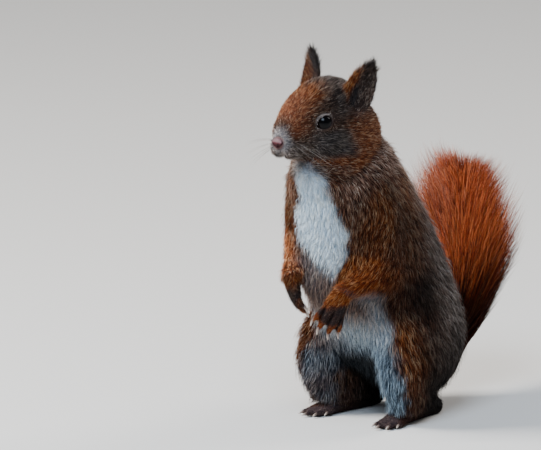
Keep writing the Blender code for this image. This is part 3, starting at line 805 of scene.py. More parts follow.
def whiteness(at):
    """How white each point's hair is, with painted shade dimming it in places, and how far it lies inside the
    edge of the white front.
    """
    x, y, z = at.x, at.y, at.z
    across = SLANT[0] * np.abs(x - np.interp(z, MIDDLE_HEIGHTS, WHITE_MIDDLE)) + SLANT[1] * y
    across += 5.5 * fade(x, 0, -20) * fade(z, 62, -12)
    inside = np.interp(z, WHITE_HEIGHTS, WHITE_EDGES) - across
    white = smooth_step((inside + 2.2 * at.wander) / 5 + 0.5) * at.trunk * (1 - 0.9 * at.foot)
    # Painted shade under the head dims the top of the white front.
    white *= (1 - 0.2 * at.chest_top) * (1 - 0.75 * at.throat_shade)
    # Painted shade dims the white below the chest, most on the belly.
    white *= 1 - at.low_front * (0.16 + 0.44 * fade(z, 48, 14) + 0.12 * at.broad)
    # Painted shade takes most of the white off the belly between the arms.
    white *= (1 - 0.88 * at.below_bib) * (1 - at.arm_side)
    # Painted shade dims the white of the far leg.
    white *= 1 - at.far_leg * np.clip(0.42 + 0.5 * fade(z, 36, 16) + 0.25 * at.broad, 0, 1)
    # Painted shade takes the white off the flanks below the arms and between the legs.
    white *= 1 - 0.9 * np.maximum(at.between_legs, at.flank)
    return white, inside


def add_mixed_patches(at, white, inside):
    """Adds the patches that follow from the white front or from two others."""
    far = at.x < 0
    for name in ("under_chin", "hem", "spine"):
        setattr(at, name, getattr(at, name) * (1 - white))
    at.neck_side = at.neck * (1 - white)
    at.chin_grey = at.under_chin * fade(inside, -8, 6)
    # The belly between the arms gets tan-brown hair as painted shade.
    at.bib_hem = at.below_bib * at.trunk
    ragged = np.abs(inside + 5 + 2 * at.wander)
    at.border = at.trunk * smooth_step(1.2 - ragged / 9) * fade(at.z, 45, 20)
    warm = at.trunk * (0.10 + 0.34 * fade(at.y, 28, -40)) + 0.42 * at.upper_arm
    at.warm = warm * (1 + 0.3 * at.broad)
    at.elbow = at.elbow * (1 + 0.6 * at.broad)
    at.arm_back = at.upper_arm * (1 - at.arm_front)
    at.ear_glow = at.ear_glow * (1 - 0.25 * far)
    at.far_ear = far * (0.8 * at.ear_back + 0.35 * at.ear_top)


def eye_ring(points, at):
    """The ring of pale hair round each eye, fuller over it."""
    ring = np.zeros(len(points))
    for side in SIDES:
        ahead, radius, rim, angle = from_lids(points, side)
        own = fade(radius - rim - 0.2 * at.wander, 2.2, -0.9) * (ahead > LIDS_BEHIND) * at.head
        own *= 0.25 + 0.75 * smooth_step(0.5 * np.sin(angle - 0.35) + 0.6)
        ring = np.maximum(ring, own)
    return ring


def tones(at, inside, ring):
    """How bright each point's hair is, with painted light on the far arm and painted shade on the flanks,
    between the legs and lower down.
    """
    # The back's pale tips, brighter up high, are partly painted sheen.
    tone = np.interp(at.z, TONE_HEIGHTS, TONES) + 0.16 * at.spine * fade(at.z, 80, 40)
    tone += (0.36 - tone) * fade(inside, -14, 8) * at.trunk
    tone += (0.17 + 0.09 * at.arm_front - tone) * at.upper_arm + (0.27 - tone) * at.forearm
    # Painted light: the far arm is given a much brighter tone than the near one.
    tone += (0.90 - tone) * at.far_arm + (0.36 - tone) * at.arm_side
    # Painted shade darkens the flanks below the arms.
    tone *= 1 - 0.5 * at.flank
    on_head = 0.50 - 0.16 * at.cheek - 0.08 * at.crown
    on_ear = 0.34 - 0.15 * (at.x < 0)
    tone += (on_head - tone) * at.head + (on_ear - tone) * at.ear + (0.42 - tone) * at.hand
    tone += (0.47 - 0.06 * fade(at.z, 75, -30) - tone) * at.tail
    tone += (0.95 - tone) * ring + 0.26 * at.muzzle
    tone += 0.12 * at.rump + 0.08 * at.thigh_front
    # Painted shade darkens the hair between the legs.
    tone *= 1 - 0.75 * at.between_legs
    return tone - 0.17 * at.tail_grey


def markings(points, fields):
    """How far each point's hair is of each kind in MARKS, from 0 to 1, with its tone."""
    at = measured(points, fields)
    mark_hands(points, at)
    white, inside = whiteness(at)
    add_mixed_patches(at, white, inside)
    ring = eye_ring(points, at)
    rufous = strongest(at, RUFOUS) * (1 - 0.55 * at.under_chin) * (1 - 0.6 * at.chin_grey)
    rufous = np.maximum.reduce([rufous, at.hand * (1 - 0.7 * at.knuckles), at.tips])
    pale = strongest(at, PALE) * (1 - at.arm_side)
    pale = np.maximum.reduce([pale * (1 - ring), 0.85 * ring, 0.95 * at.tail_grey])
    white = np.maximum(white, 0.07 * at.snout)
    return {
        "white": white,
        "rufous": rufous * (1 - white),
        "dark": strongest(at, DARK) * (1 - at.far_arm) * (1 - ring),
        "pale": pale,
        "tail_red": at.tail - 0.80 * at.tail_grey + 0.35 * at.forearm * (1 - at.far_arm),
        # painted shade: the white hair turns blue-grey lower down
        "blue_shade": fade(at.z, 62, -22),
        "tone": tones(at, inside, ring),
    }


# ---------------------------------------------------------------- tufts


def tuft_pattern(cuts, sides=3):
    """One closed pointed tuft of unit height, cut across at these heights: its corners and its faces."""
    form = bmesh.new()
    bmesh.ops.create_cone(form, cap_ends=True, segments=sides, radius1=1, radius2=0, depth=1)
    bmesh.ops.translate(form, verts=form.verts, vec=(0, 0, 0.5))
    bmesh.ops.remove_doubles(form, verts=form.verts, dist=1e-5)
    for cut in cuts:
        everything = [*form.verts, *form.edges, *form.faces]
        bmesh.ops.bisect_plane(form, geom=everything, plane_co=(0, 0, cut), plane_no=UP)
    bmesh.ops.recalc_face_normals(form, faces=form.faces)
    corners = np.array([v.co for v in form.verts])
    levels = np.array([0.0, *cuts, 1.0])
    level = np.abs(corners[:, 2:] - levels).argmin(axis=1)
    angle = np.arctan2(corners[:, 1], corners[:, 0])
    faces = [[v.index for v in f.verts] for f in form.faces]
    form.free()
    return {"level": level, "angle": angle, "levels": levels, "faces": faces}


def grow(name, pattern, paths, widths, sideways, flatness, values, uv=None):
    """One piece of many tufts: paths and half widths at the pattern's levels, and which way is flat."""
    count, level = len(paths), pattern["level"]
    along = unit(np.gradient(paths, axis=1))
    side = unit(sideways[:, None, :] - (along * sideways[:, None, :]).sum(-1, keepdims=True) * along)
    over = np.cross(along, side)
    reach = np.where(level == len(pattern["levels"]) - 1, 0.0, 1.0)
    x = (np.cos(pattern["angle"]) * reach)[None, :, None] * widths[:, level, None]
    y = (np.sin(pattern["angle"]) * reach)[None, :, None] * widths[:, level, None] * flatness
    corners = paths[:, level] + side[:, level] * x + over[:, level] * y
    sizes = np.array([len(f) for f in pattern["faces"]])
    loops = np.concatenate(pattern["faces"])
    starts = np.concatenate(([0], np.cumsum(sizes)[:-1]))
    step = np.arange(count)[:, None]
    mesh = bpy.data.meshes.new(name)
    mesh.vertices.add(count * len(level))
    mesh.vertices.foreach_set("co", (corners * MM).astype(np.float32).ravel())
    mesh.loops.add(count * len(loops))
    mesh.loops.foreach_set("vertex_index", (loops + step * len(level)).astype(np.int32).ravel())
    mesh.polygons.add(count * len(sizes))
    mesh.polygons.foreach_set("loop_start", (starts + step * len(loops)).astype(np.int32).ravel())
    mesh.update(calc_edges=True)
    mesh.shade_smooth()
    height = pattern["levels"][level]
    add_values(mesh, along=np.tile(height, count), **{k: np.repeat(v, len(level)) for k, v in values.items()})
    if uv is not None:
        spot = np.stack((np.cos(pattern["angle"]) * reach * (1 - height) * 0.5, height - 0.5), axis=1)
        layer = mesh.uv_layers.new(name="OFBake")
        layer.data.foreach_set("uv", (uv[:, None] + PATCH * spot[loops]).astype(np.float32).ravel())
    return new_object(name, mesh)


def scatter(skin, fields):
    """Roots of tufts all over the skin, as dense as its field says, with the fields' values there."""
    mesh = skin.data
    mesh.calc_loop_triangles()
    points = points_of(mesh)
    corners = read(mesh.loop_triangles, "vertices", 3, np.int32)
    loops = read(mesh.loop_triangles, "loops", 3, np.int32)
    spots = read(mesh.uv_layers["OFBake"].uv, "vector", 2)
    a, b, c = (points[corners[:, i]] for i in range(3))
    area = np.linalg.norm(np.cross(b - a, c - a), axis=1) / 2
    wanted = area * fields["density"][corners].mean(axis=1)
    count = np.floor(wanted + chance.random(len(area))).astype(int)
    face = np.repeat(np.arange(len(area)), count)
    share = np.sqrt(chance.random(len(face)))
    second = chance.random(len(face))
    weights = np.stack((1 - share, share * (1 - second), share * second), axis=1)

    def blend(values):
        picked = values[corners[face]]
        shape = weights if picked.ndim == 2 else weights[..., None]
        return (picked * shape).sum(axis=1)

    roots = {name: blend(values) for name, values in fields.items()}
    roots["place"] = blend(points)
    roots["normal"] = unit(blend(normals_of(mesh)))
    roots["uv"] = (spots[loops[face]] * weights[..., None]).sum(axis=1)
    return roots


def in_opening(places):
    """Whether a place lies between an eye's lids."""
    hidden = np.zeros(len(places), bool)
    for side in SIDES:
        look, along, across = eye_axes(side)
        away = places - EYES[side]
        x, y = (away @ axis / (half + LID_MARGIN) for axis, half in zip((along, across), EYE_OPENING))
        hidden |= (x**2 + y**2 < 1) & (away @ look > -1) & (np.linalg.norm(away, axis=1) < LID_REACH)
    return hidden


def lay_down(roots):
    """Each tuft's line at its root, bend and tip, lying along the skin and drawn towards its lock's tip."""
    count = len(roots["place"])
    normal = roots["normal"]
    flow = roots["flow"] + 0.16 * chance.normal(size=(count, 3))
    swirl = ripple(roots["place"], SWIRL_SIZE, 3)
    flow = unit(flow - (flow * normal).sum(1, keepdims=True) * normal)
    flow = unit(flow + SWIRL_TURN * swirl[:, None] * np.cross(normal, flow))
    guard = chance.random(count) < GUARD_SHARE
    roots["guard"] = guard
    wider, longer, steeper = (np.where(guard, growth, 1.0) for growth in GUARD_GROWTH)
    roots["width"] = roots["width"] * wider
    length = roots["length"] * chance.uniform(*LENGTH_RANGE, count) * longer
    lift = roots["lift"] * chance.uniform(*LIFT_RANGE, count) * steeper
    lift = np.radians(lift)[:, None]
    rise = flow * np.cos(lift * 1.5) + normal * np.sin(lift * 1.5)
    fall = flow * np.cos(lift * 0.4) + normal * np.sin(lift * 0.4)
    start = roots["place"] - ROOT_DEPTH * normal
    bend = start + rise * (length * 0.5)[:, None]
    tip = bend + fall * (length * 0.5)[:, None]
    share = np.where(roots["length"] < 4, SHORT_LOCK_SHARE, LOCK_SHARE)
    paths, lock = draw_to_locks(np.stack((start, bend, tip), axis=1), roots["draw"], share)
    paths[..., 2] = np.maximum(paths[..., 2], FLOOR_GAP)
    return paths, lock


def draw_to_locks(paths, draw, share=LOCK_SHARE):
    """Pulls the far part of each tuft towards the nearest leading tuft, and says which lock it is in."""
    leaders = np.flatnonzero(chance.random(len(paths)) < share)
    tree = KDTree(len(leaders))
    for index, leader in enumerate(leaders):
        tree.insert(paths[leader, 0], index)
    tree.balance()
    lock = np.array([tree.find(root)[1] for root in paths[:, 0]])
    chief = paths[leaders[lock]]
    pull = (draw * chance.uniform(*LOCK_PULL, len(paths)))[:, None]
    paths[:, -1] += (chief[:, -1] - paths[:, -1]) * pull
    for level in range(1, paths.shape[1] - 1):
        part = (level / (paths.shape[1] - 1)) ** 1.5
        paths[:, level] += (chief[:, level] - paths[:, level]) * pull * part * 0.6
    return paths, lock


def whole_tail():
    """The tail's whole outline, for the hair to reach."""
    form = joined_nodes([n for n in NODES if kind(n) == "tail"], SKIN_GROWTH)
    holder = new_object("tail_outline", mesh_from(form, "tail_outline"))
    tree = surface_tree(finish_piece(holder, "REMESH", mode="VOXEL", voxel_size=TAIL_VOXEL * MM))
    bpy.data.objects.remove(holder)
    return tree


def gather_in(paths):
    """Draws back what reaches far out to a side, and lifts what would go through the floor."""
    widest = TAIL_WIDTH_SHARE * CAD_BOX[1][0] / MM
    beyond = np.maximum(np.abs(paths[..., 0]) - widest, 0)
    paths[..., 0] -= TAIL_GATHER * beyond * np.sign(paths[..., 0])
    paths[..., 2] = np.maximum(paths[..., 2], FLOOR_GAP)
    return paths


def fan_out(roots):
    """The lines of the tail's long hair, up and out from its flesh as far as the outline."""
    path = np.array([place for place, _ in tail_path()])
    place, normal = roots["place"], roots["normal"]
    count, height = len(place), place[:, 2]
    nearest = np.array([np.linalg.norm(path - p, axis=1).argmin() for p in place])
    tangent = unit(np.gradient(path, axis=0))[nearest]
    out = normal * (1.0, 0.7, 1.0) + 0.22 * chance.normal(size=(count, 3))
    out = unit(out - (out * tangent).sum(1, keepdims=True) * tangent)
    lean = chance.uniform(*TAIL_LEAN, count) * (0.8 + 0.2 * fade(height, low("tail_2")[2], 25))
    lean = np.radians(lean)[:, None]
    way = tangent * np.cos(lean) + out * np.sin(lean)
    low_down = fade(height, 34, -16)[:, None]
    way = unit(way * (1 - low_down) + low_down * (0.0, 0.65, 1.0))
    outline = whole_tail()
    rays = [outline.ray_cast(Vector(p) * MM, Vector(w))[3] for p, w in zip(place, way)]
    reach = np.array([(ray or OPEN_REACH * MM) / MM for ray in rays])
    reach *= 1 + 0.30 * fade(height, 78, -20) + 0.16 * smooth_step(-2 * way[:, :2] @ SLANT)
    shortest, longest = TAIL_HAIR
    reach = np.clip(reach, shortest, longest - ROOT_HAIR_CUT * low_down[:, 0])
    length = (reach * (0.80 + 0.37 * chance.random(count) ** 1.4))[:, None]
    early, late = unit(way + 0.25 * tangent), unit(way + 0.18 * tangent)
    first = place + unit(way - 0.2 * tangent) * length * 0.35
    second = place + way * length * 0.7 + (early - way) * length * 0.10
    tip = place + unit(way * 0.85 + late * 0.15) * length
    lines = np.stack((place - 0.3 * normal, first, second, tip), axis=1)
    return gather_in(draw_to_locks(lines, roots["draw"])[0])


# ---------------------------------------------------------------- materials


def node(tree, kind_of, inputs=(), **settings):
    """A new node with these settings, and these values or sockets on its inputs."""
    made = tree.nodes.new(kind_of)
    for key, value in settings.items():
        setattr(made, key, value)
    for key, value in dict(inputs).items():
        if isinstance(value, bpy.types.NodeSocket):
            tree.links.new(value, made.inputs[key])
        else:
            made.inputs[key].default_value = value
    return made


def math_node(tree, operation, first, second):
    return node(tree, "ShaderNodeMath", {0: first, 1: second}, operation=operation).outputs[0]


def mix_colours(tree, share, first, second):
    inputs = {"Factor": share, 6: first, 7: second}
    return node(tree, "ShaderNodeMix", inputs, data_type="RGBA").outputs[2]


def ramp(tree, share, stops):
    """A colour ramp over share, from (place, colour) pairs."""
    made = node(tree, "ShaderNodeValToRGB", {0: share})
    points = made.color_ramp.elements
    while len(points) < len(stops):
        points.new(0.5)
    for point, (place, colour) in zip(points, stops):
        point.position = place
        point.color = (*colour, 1)
    return made.outputs[0]


MARKS = ("white", "rufous", "dark", "pale", "tail_red", "blue_shade", "tone")

# The colours of each kind of hair, from its darkest strands to its lightest, and of the bare parts.
BARE_LID = (0.018, 0.010, 0.009, 1)
BARE_MUZZLE = (0.11, 0.060, 0.056, 1)
NOSTRIL_RED = (0.028, 0.001, 0.004, 1)
EYE_BROWN = (
    (0.0, (0.001, 0.001, 0.0015)), (0.55, (0.002, 0.001, 0.001)), (0.8, (0.012, 0.006, 0.003)),
    (1.0, (0.004, 0.002, 0.002)),
)
HORN = ((0.0, (0.04, 0.02, 0.018)), (0.35, (0.16, 0.11, 0.09)), (1.0, (0.46, 0.39, 0.33)))
NOSE_MAUVE = ((0.0, (0.030, 0.002, 0.004)), (0.40, (0.060, 0.014, 0.018)), (0.8, (0.13, 0.070, 0.074)))
WHISKER_BROWN = ((0.0, (0.03, 0.02, 0.018)), (0.5, (0.10, 0.07, 0.06)), (1.0, (0.62, 0.55, 0.48)))
GRIZZLED = (
    (0.0, (0.004, 0.002, 0.002)), (0.35, (0.018, 0.008, 0.005)), (0.62, (0.056, 0.023, 0.012)),
    (0.82, (0.135, 0.068, 0.040)), (0.93, (0.30, 0.21, 0.155)), (1.0, (0.60, 0.50, 0.42)),
)
RUST = (
    (0.0, (0.012, 0.003, 0.001)), (0.3, (0.080, 0.015, 0.003)), (0.60, (0.22, 0.044, 0.006)),
    (0.82, (0.40, 0.100, 0.014)), (0.93, (0.52, 0.21, 0.055)), (1.0, (0.66, 0.43, 0.22)),
)
GREY = (
    (0.0, (0.012, 0.010, 0.010)), (0.45, (0.088, 0.071, 0.063)), (0.80, (0.27, 0.222, 0.196)),
    (0.93, (0.53, 0.46, 0.42)), (1.0, (0.80, 0.73, 0.68)),
)
SOOTY = (
    (0.0, (0.005, 0.004, 0.005)), (0.7, (0.020, 0.017, 0.018)), (0.9, (0.046, 0.039, 0.040)),
    (1.0, (0.13, 0.10, 0.08)),
)
TAIL_RED = (
    (0.0, (0.025, 0.005, 0.003)), (0.3, (0.13, 0.016, 0.004)), (0.7, (0.32, 0.045, 0.008)),
    (1.0, (0.58, 0.17, 0.050)),
)
# The white hair lower down, in painted shade: blue-grey.
SHADED_SNOW = ((0.0, (0.017, 0.028, 0.043)), (0.5, (0.085, 0.132, 0.185)), (1.0, (0.38, 0.52, 0.63)))
# White hair, tinted blue: partly its own white, partly painted sky light.
SNOW = ((0.0, (0.36, 0.49, 0.62)), (0.4, (0.68, 0.85, 1.0)), (1.0, (0.90, 0.98, 1.0)))


def map_range(tree, value, start, end, least=0.0, most=1.0):
    """The value carried over to start at its least, and to end at its most."""
    return node(tree, "ShaderNodeMapRange", {0: value, 1: least, 2: most, 3: start, 4: end}).outputs[0]


def noise_value(tree, place, scale, detail):
    inputs = {"Vector": place, "Scale": scale, "Detail": detail}
    return node(tree, "ShaderNodeTexNoise", inputs).outputs["Fac"]


def bump(tree, height, strength, distance):
    inputs = {"Height": height, "Strength": strength, "Distance": distance}
    return node(tree, "ShaderNodeBump", inputs).outputs[0]


def scaled(tree, colour, scale):
    return node(tree, "ShaderNodeVectorMath", {0: colour, "Scale": scale}, operation="SCALE").outputs[0]


def object_place(tree):
    return node(tree, "ShaderNodeTexCoord").outputs["Object"]


def feed(tree, into, **values):
    """Links each value to the input of its name."""
    for name, value in values.items():
        tree.links.new(value, into.inputs[name.replace("_", " ")])


def coat_group():
    """Hair colour and roughness from the markings, the place along a hair and the hair's own chance value."""
    group = bpy.data.node_groups.new("coat_colours", "ShaderNodeTree")
    for name in (*MARKS, "along", "strand"):
        group.interface.new_socket(name, in_out="INPUT", socket_type="NodeSocketFloat")
    group.interface.new_socket("Colour", in_out="OUTPUT", socket_type="NodeSocketColor")
    group.interface.new_socket("Roughness", in_out="OUTPUT", socket_type="NodeSocketFloat")
    given = group.nodes.new("NodeGroupInput").outputs
    along, strand = given["along"], given["strand"]
    grizzled = ramp(group, strand, GRIZZLED)
    colour = mix_colours(group, given["rufous"], grizzled, ramp(group, strand, RUST))
    colour = mix_colours(group, given["pale"], colour, ramp(group, strand, GREY))
    colour = mix_colours(group, given["dark"], colour, ramp(group, strand, SOOTY))
    colour = mix_colours(group, given["tail_red"], colour, ramp(group, strand, TAIL_RED))
    shade = map_range(group, along, 0.35, 1.30)
    shade = math_node(group, "MULTIPLY", shade, math_node(group, "MULTIPLY", given["tone"], 2.0))
    colour = scaled(group, colour, shade)
    bright = map_range(group, along, 0.82, 1.03)
    # White hair, blue-grey lower down as painted shade.
    snow = mix_colours(group, given["blue_shade"], ramp(group, strand, SNOW), ramp(group, strand, SHADED_SNOW))
    colour = mix_colours(group, given["white"], colour, scaled(group, snow, bright))
    rough = map_range(group, along, 0.75, 0.48)
    ends = group.nodes.new("NodeGroupOutput").inputs
    group.links.new(colour, ends["Colour"])
    group.links.new(rough, ends["Roughness"])
    return group


def new_material(name, **settings):
    """A material with a Principled shader, and its tree and shader."""
    material = bpy.data.materials.new(name)
    material.use_nodes = True
    tree = material.node_tree
    shader = tree.nodes["Principled BSDF"]
    for key, value in settings.items():
        shader.inputs[key.replace("_", " ")].default_value = value
    return material, tree, shader


def attribute(tree, name):
    return node(tree, "ShaderNodeAttribute", attribute_name=name).outputs["Fac"]


def coat_node(tree, group):
    """The coat's colours, fed with the markings."""
    coat = node(tree, "ShaderNodeGroup", node_tree=group)
    for name in MARKS:
        tree.links.new(attribute(tree, name), coat.inputs[name])
    return coat


def hair_material(group):
    material, tree, shader = new_material("hair", Specular_IOR_Level=0.09)
    coat = coat_node(tree, group)
    feed(tree, coat, along=attribute(tree, "along"), strand=attribute(tree, "strand"))
    feed(tree, shader, Base_Color=coat.outputs["Colour"], Roughness=coat.outputs["Roughness"])
    return material


def skin_material(group):
    """Short under-fur close on the skin, in the coat's own markings."""
    material, tree, shader = new_material("under_fur", Specular_IOR_Level=0.1)
    coat = coat_node(tree, group)
    fine = noise_value(tree, object_place(tree), 1900.0, 3.0)
    feed(tree, coat, along=map_range(tree, fine, 0.05, 0.45, 0.3, 0.7), strand=fine)
    bare = attribute(tree, "bare")
    colour = mix_colours(tree, attribute(tree, "nude"), coat.outputs["Colour"], BARE_MUZZLE)
    colour = mix_colours(tree, bare, colour, BARE_LID)
    feed(tree, shader, Base_Color=colour, Roughness=map_range(tree, bare, 0.8, 0.35))
    feed(tree, shader, Normal=bump(tree, fine, 0.6, 0.0004))
    return material


def eye_material():
    material, tree, shader = new_material("dark_eye", Roughness=0.05, Specular_IOR_Level=0.10)
    feed(tree, shader, Base_Color=ramp(tree, attribute(tree, "rim"), EYE_BROWN))
    return material


def horn_material():
    material, tree, shader = new_material("claw_horn", Roughness=0.32, Specular_IOR_Level=0.5)
    grain = noise_value(tree, object_place(tree), 2500.0, 2.0)
    streaks = math_node(tree, "MULTIPLY", math_node(tree, "SUBTRACT", grain, 0.5), 0.3)
    share = math_node(tree, "ADD", attribute(tree, "along"), streaks)
    feed(tree, shader, Base_Color=ramp(tree, share, HORN), Normal=bump(tree, grain, 0.25, 0.0001))
    return material


def nose_material():
    material, tree, shader = new_material(
        "moist_nose", Roughness=0.45, Specular_IOR_Level=0.16, Coat_Weight=0.05, Coat_Roughness=0.2
    )
    place = object_place(tree)
    cells = node(tree, "ShaderNodeTexVoronoi", {"Vector": place, "Scale": 2600.0}).outputs["Distance"]
    blotch = math_node(tree, "MULTIPLY", noise_value(tree, place, 420.0, 2.0), 0.35)
    share = math_node(tree, "SUBTRACT", math_node(tree, "ADD", attribute(tree, "height"), blotch), 0.17)
    colour = mix_colours(tree, attribute(tree, "inner"), ramp(tree, share, NOSE_MAUVE), NOSTRIL_RED)
    feed(tree, shader, Base_Color=colour, Normal=bump(tree, cells, 0.5, 0.00012))
    return material


def whisker_material():
    material, tree, shader = new_material("whisker", Roughness=0.35)
    feed(tree, shader, Base_Color=ramp(tree, attribute(tree, "strand"), WHISKER_BROWN))
    return material


# ---------------------------------------------------------------- pieces


def ride(piece, slot_name, *replaced):
    """Fixes a piece to the body in place of these nodes, which it hides; its slot name is not used."""
    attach(piece, "root")
    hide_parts(*replaced)
    return piece


def unwrap(piece):
    """Lays the skin's surface out flat on a map of its own."""
    bpy.context.view_layer.objects.active = piece
    for other in bpy.context.scene.objects:
        other.select_set(other is piece)
    piece.data.uv_layers.new(name="OFBake")
    bpy.ops.object.mode_set(mode="EDIT")
    bpy.ops.mesh.select_all(action="SELECT")
    bpy.ops.uv.smart_project(angle_limit=math.radians(70), island_margin=0.001)
    bpy.ops.object.mode_set(mode="OBJECT")


def dress_skin(group):
    """The skin with its markings, and its fields for the coat."""
    skin, fields = make_skin()
    mesh = skin.data
    unwrap(skin)
    points = points_of(mesh)
    bare = np.zeros(len(points))
    for side in SIDES:
        ahead, radius, rim, _ = from_lids(points, side)
        near = (ahead > LIDS_BEHIND) & (radius < LID_REACH)
        bare = np.maximum(bare, fade(radius - rim, 0.45, -0.3) * near)
    nude = fade(np.linalg.norm(points - PAD, axis=1), NOSE_BARE + 1.6, -1.5)
    add_values(mesh, bare=bare, nude=nude, **markings(points, fields))
    mesh.materials.clear()
    mesh.materials.append(skin_material(group))
    ride(skin, "grizzled_fur", *[n for n in NODES if is_flesh(n)])
    return skin, fields


# Each piece of coat: the stretches it covers, and its slot.
COAT_PIECES = {
    "fur_head": (("head",), "grizzled_fur"),
    "fur_ears": (("ear",), "ear_fur"),
    "fur_neck": (("neck",), "grizzled_fur"),
    "fur_chest": (("chest",), "white_fur"),
    "fur_abdomen": (("abdomen",), "white_fur"),
    "fur_arms": (("upper_arm", "forearm"), "russet_fur"),
    "fur_hands": (("hand",), "paw_fur"),
    "fur_thighs": (("thigh",), "grizzled_fur"),
    "fur_shins": (("shin",), "russet_fur"),
    "fur_feet": (("foot",), "paw_fur"),
}
SHORT_COAT = ("head", "ear", "hand", "foot")  # these have straight tufts
MOST_TUFTS, MOST_SHORT_TUFTS = 19000, 48000  # in one piece, to keep its mesh light
TAIL_TUFT_WEIGHT = 1.6  # how much heavier the mesh of a tuft on the tail is
TUFT_FLATNESS = 0.6
SHADE_OF_ITS_OWN = 0.6  # how much of a strand's shade is its own, and not its lock's
GUARD_SHADES = (0.76, 0.22)  # the darkest shade of a guard hair, and how much lighter they get


def evenly(values):
    """Values spread evenly from 0 to 1, in the same order."""
    return np.argsort(np.argsort(values)) / len(values)


def grow_hair(name, coat, chosen, paths, pattern, taper, slot_name):
    """One piece of the coat, at these of its roots."""
    roots = coat["roots"]
    values = {key: value[chosen] for key, value in coat["marks"].items()}
    widths = roots["width"][chosen][:, None] * np.array(taper)
    sideways = np.cross(roots["normal"][chosen], paths[:, -1] - paths[:, 0])
    piece = grow(name, pattern, paths, widths, sideways, TUFT_FLATNESS, values, roots["uv"][chosen])
    piece.data.materials.append(coat["hair"])
    ride(piece, slot_name)


def make_body_hair(coat, body):
    """The pieces of COAT_PIECES, at the roots off the tail."""
    roots = {name: value[body] for name, value in coat["roots"].items()}
    laid, lock = lay_down(roots)
    strand = coat["marks"]["strand"]
    shade = chance.random(lock.max() + 1)
    own = evenly(SHADE_OF_ITS_OWN * strand[body] + (1 - SHADE_OF_ITS_OWN) * shade[lock])
    darkest, lighter = GUARD_SHADES
    strand[body] = np.where(roots["guard"], np.maximum(own, darkest + lighter * own), own)
    straight, bent = tuft_pattern(()), tuft_pattern((0.45,))
    for name, (stretches, slot_name) in COAT_PIECES.items():
        chosen = np.flatnonzero(np.isin(coat["part"][body], stretches))
        is_short = stretches[0] in SHORT_COAT
        lots = math.ceil(len(chosen) / (MOST_SHORT_TUFTS if is_short else MOST_TUFTS))
        for number in range(lots):
            some = chosen[number::lots]
            full_name = f"{name}_{number + 1}" if lots > 1 else name
            if is_short:
                grow_hair(full_name, coat, body[some], laid[some][:, ::2], straight, (1.0, 0.0), slot_name)
            else:
                grow_hair(full_name, coat, body[some], laid[some], bent, (1.0, 0.8, 0.0), slot_name)


def make_tail_hair(coat, tail):
    """The long hair of the tail, in pieces that each reach all over it."""
    fan = fan_out({name: value[tail] for name, value in coat["roots"].items()})
    long = tuft_pattern((0.33, 0.68))
    lots = math.ceil(len(tail) * TAIL_TUFT_WEIGHT / MOST_TUFTS)
    for number in range(lots):
        some = np.arange(number, len(tail), lots)
        name = f"fur_tail_{number + 1}"
        grow_hair(name, coat, tail[some], fan[some], long, (1.0, 1.1, 0.8, 0.0), "tail_fur")


def make_coat(skin, fields, hair):
    """Every piece of the coat."""
    roots = scatter(skin, fields)
    shown = ~in_opening(roots["place"]) & (np.linalg.norm(roots["place"] - PAD, axis=1) > NOSE_BARE)
    roots = {name: value[shown] for name, value in roots.items()}
    near = roots["place"] + chance.normal(size=roots["place"].shape) * BLUR
    marks = {**markings(near, roots), "strand": chance.random(len(near))}
    part = np.array(list(COAT))[np.array([roots[name] for name in COAT]).argmax(axis=0)]
    coat = {"roots": roots, "marks": marks, "part": part, "hair": hair}
    make_body_hair(coat, np.flatnonzero(part != "tail"))
    make_tail_hair(coat, np.flatnonzero(part == "tail"))


def make_eye(side, material):
    """A glossy ball with a slightly fuller cornea."""
    look, _, _ = eye_axes(side)
    form = bmesh.new()
    bmesh.ops.create_icosphere(form, subdivisions=4, radius=EYE_RADIUS)
    for corner in form.verts:
        ahead = max(corner.co.normalized().dot(Vector(look)), 0)
        corner.co *= 1 + CORNEA_RISE * ahead**6
        corner.co = (corner.co + Vector(EYES[side])) * MM
    mesh = mesh_from(form, "eyeball_" + side)
    mesh.shade_smooth()
    ahead = unit(points_of(mesh) - EYES[side]) @ look
    add_values(mesh, rim=np.clip(1 - ahead, 0, 1) * 1.6)
    ride(new_object("eyeball_" + side, mesh, material), "eye", "eye_" + side)


def make_lids(side, material):
    """The bare dark rim of the lids, a rounded cord of skin round the opening."""
    look, along, across = eye_axes(side)
    turn = np.linspace(0, 2 * np.pi, RIM_STEPS, endpoint=False)
    x, y = EYE_OPENING[0] * np.cos(turn) * front_corner(turn), EYE_OPENING[1] * np.sin(turn)
    ball = EYE_RADIUS + RIM_THICK / 2
    ahead = np.sqrt(np.maximum(ball**2 - x**2 - y**2, 0))
    line = EYES[side] + x[:, None] * along + y[:, None] * across + ahead[:, None] * look
    holder, spline = new_cord("lid", RIM_THICK, "POLY", RIM_STEPS)
    spline.use_cyclic_u = True
    for knot, place in zip(spline.points, line):
        knot.co = (*(place * MM), 1)
    mesh = cord_mesh(holder)
    mesh.name = "lid_rim_" + side
    mesh.shade_smooth()
    add_values(mesh, bare=np.ones(len(mesh.vertices)))
    mesh.materials.clear()
    ride(new_object("lid_rim_" + side, mesh, material), "nose_skin")


def smooth_copy(name, new_name, levels):
    """A CAD node's copy made round, at the node's own size."""
    piece = new_object(new_name, mesh_from(joined_nodes([name], 0), new_name))
    mesh = finish_piece(piece, "SUBSURF", levels=levels, render_levels=levels)
    mesh.name = new_name
    points = points_of(mesh)
    before, after = high(name) - low(name), points.max(0) - points.min(0)
    centre = (points.max(0) + points.min(0)) / 2
    set_points(mesh, middle(name) + (points - centre) * before / after)
    mesh.shade_smooth()
    return piece


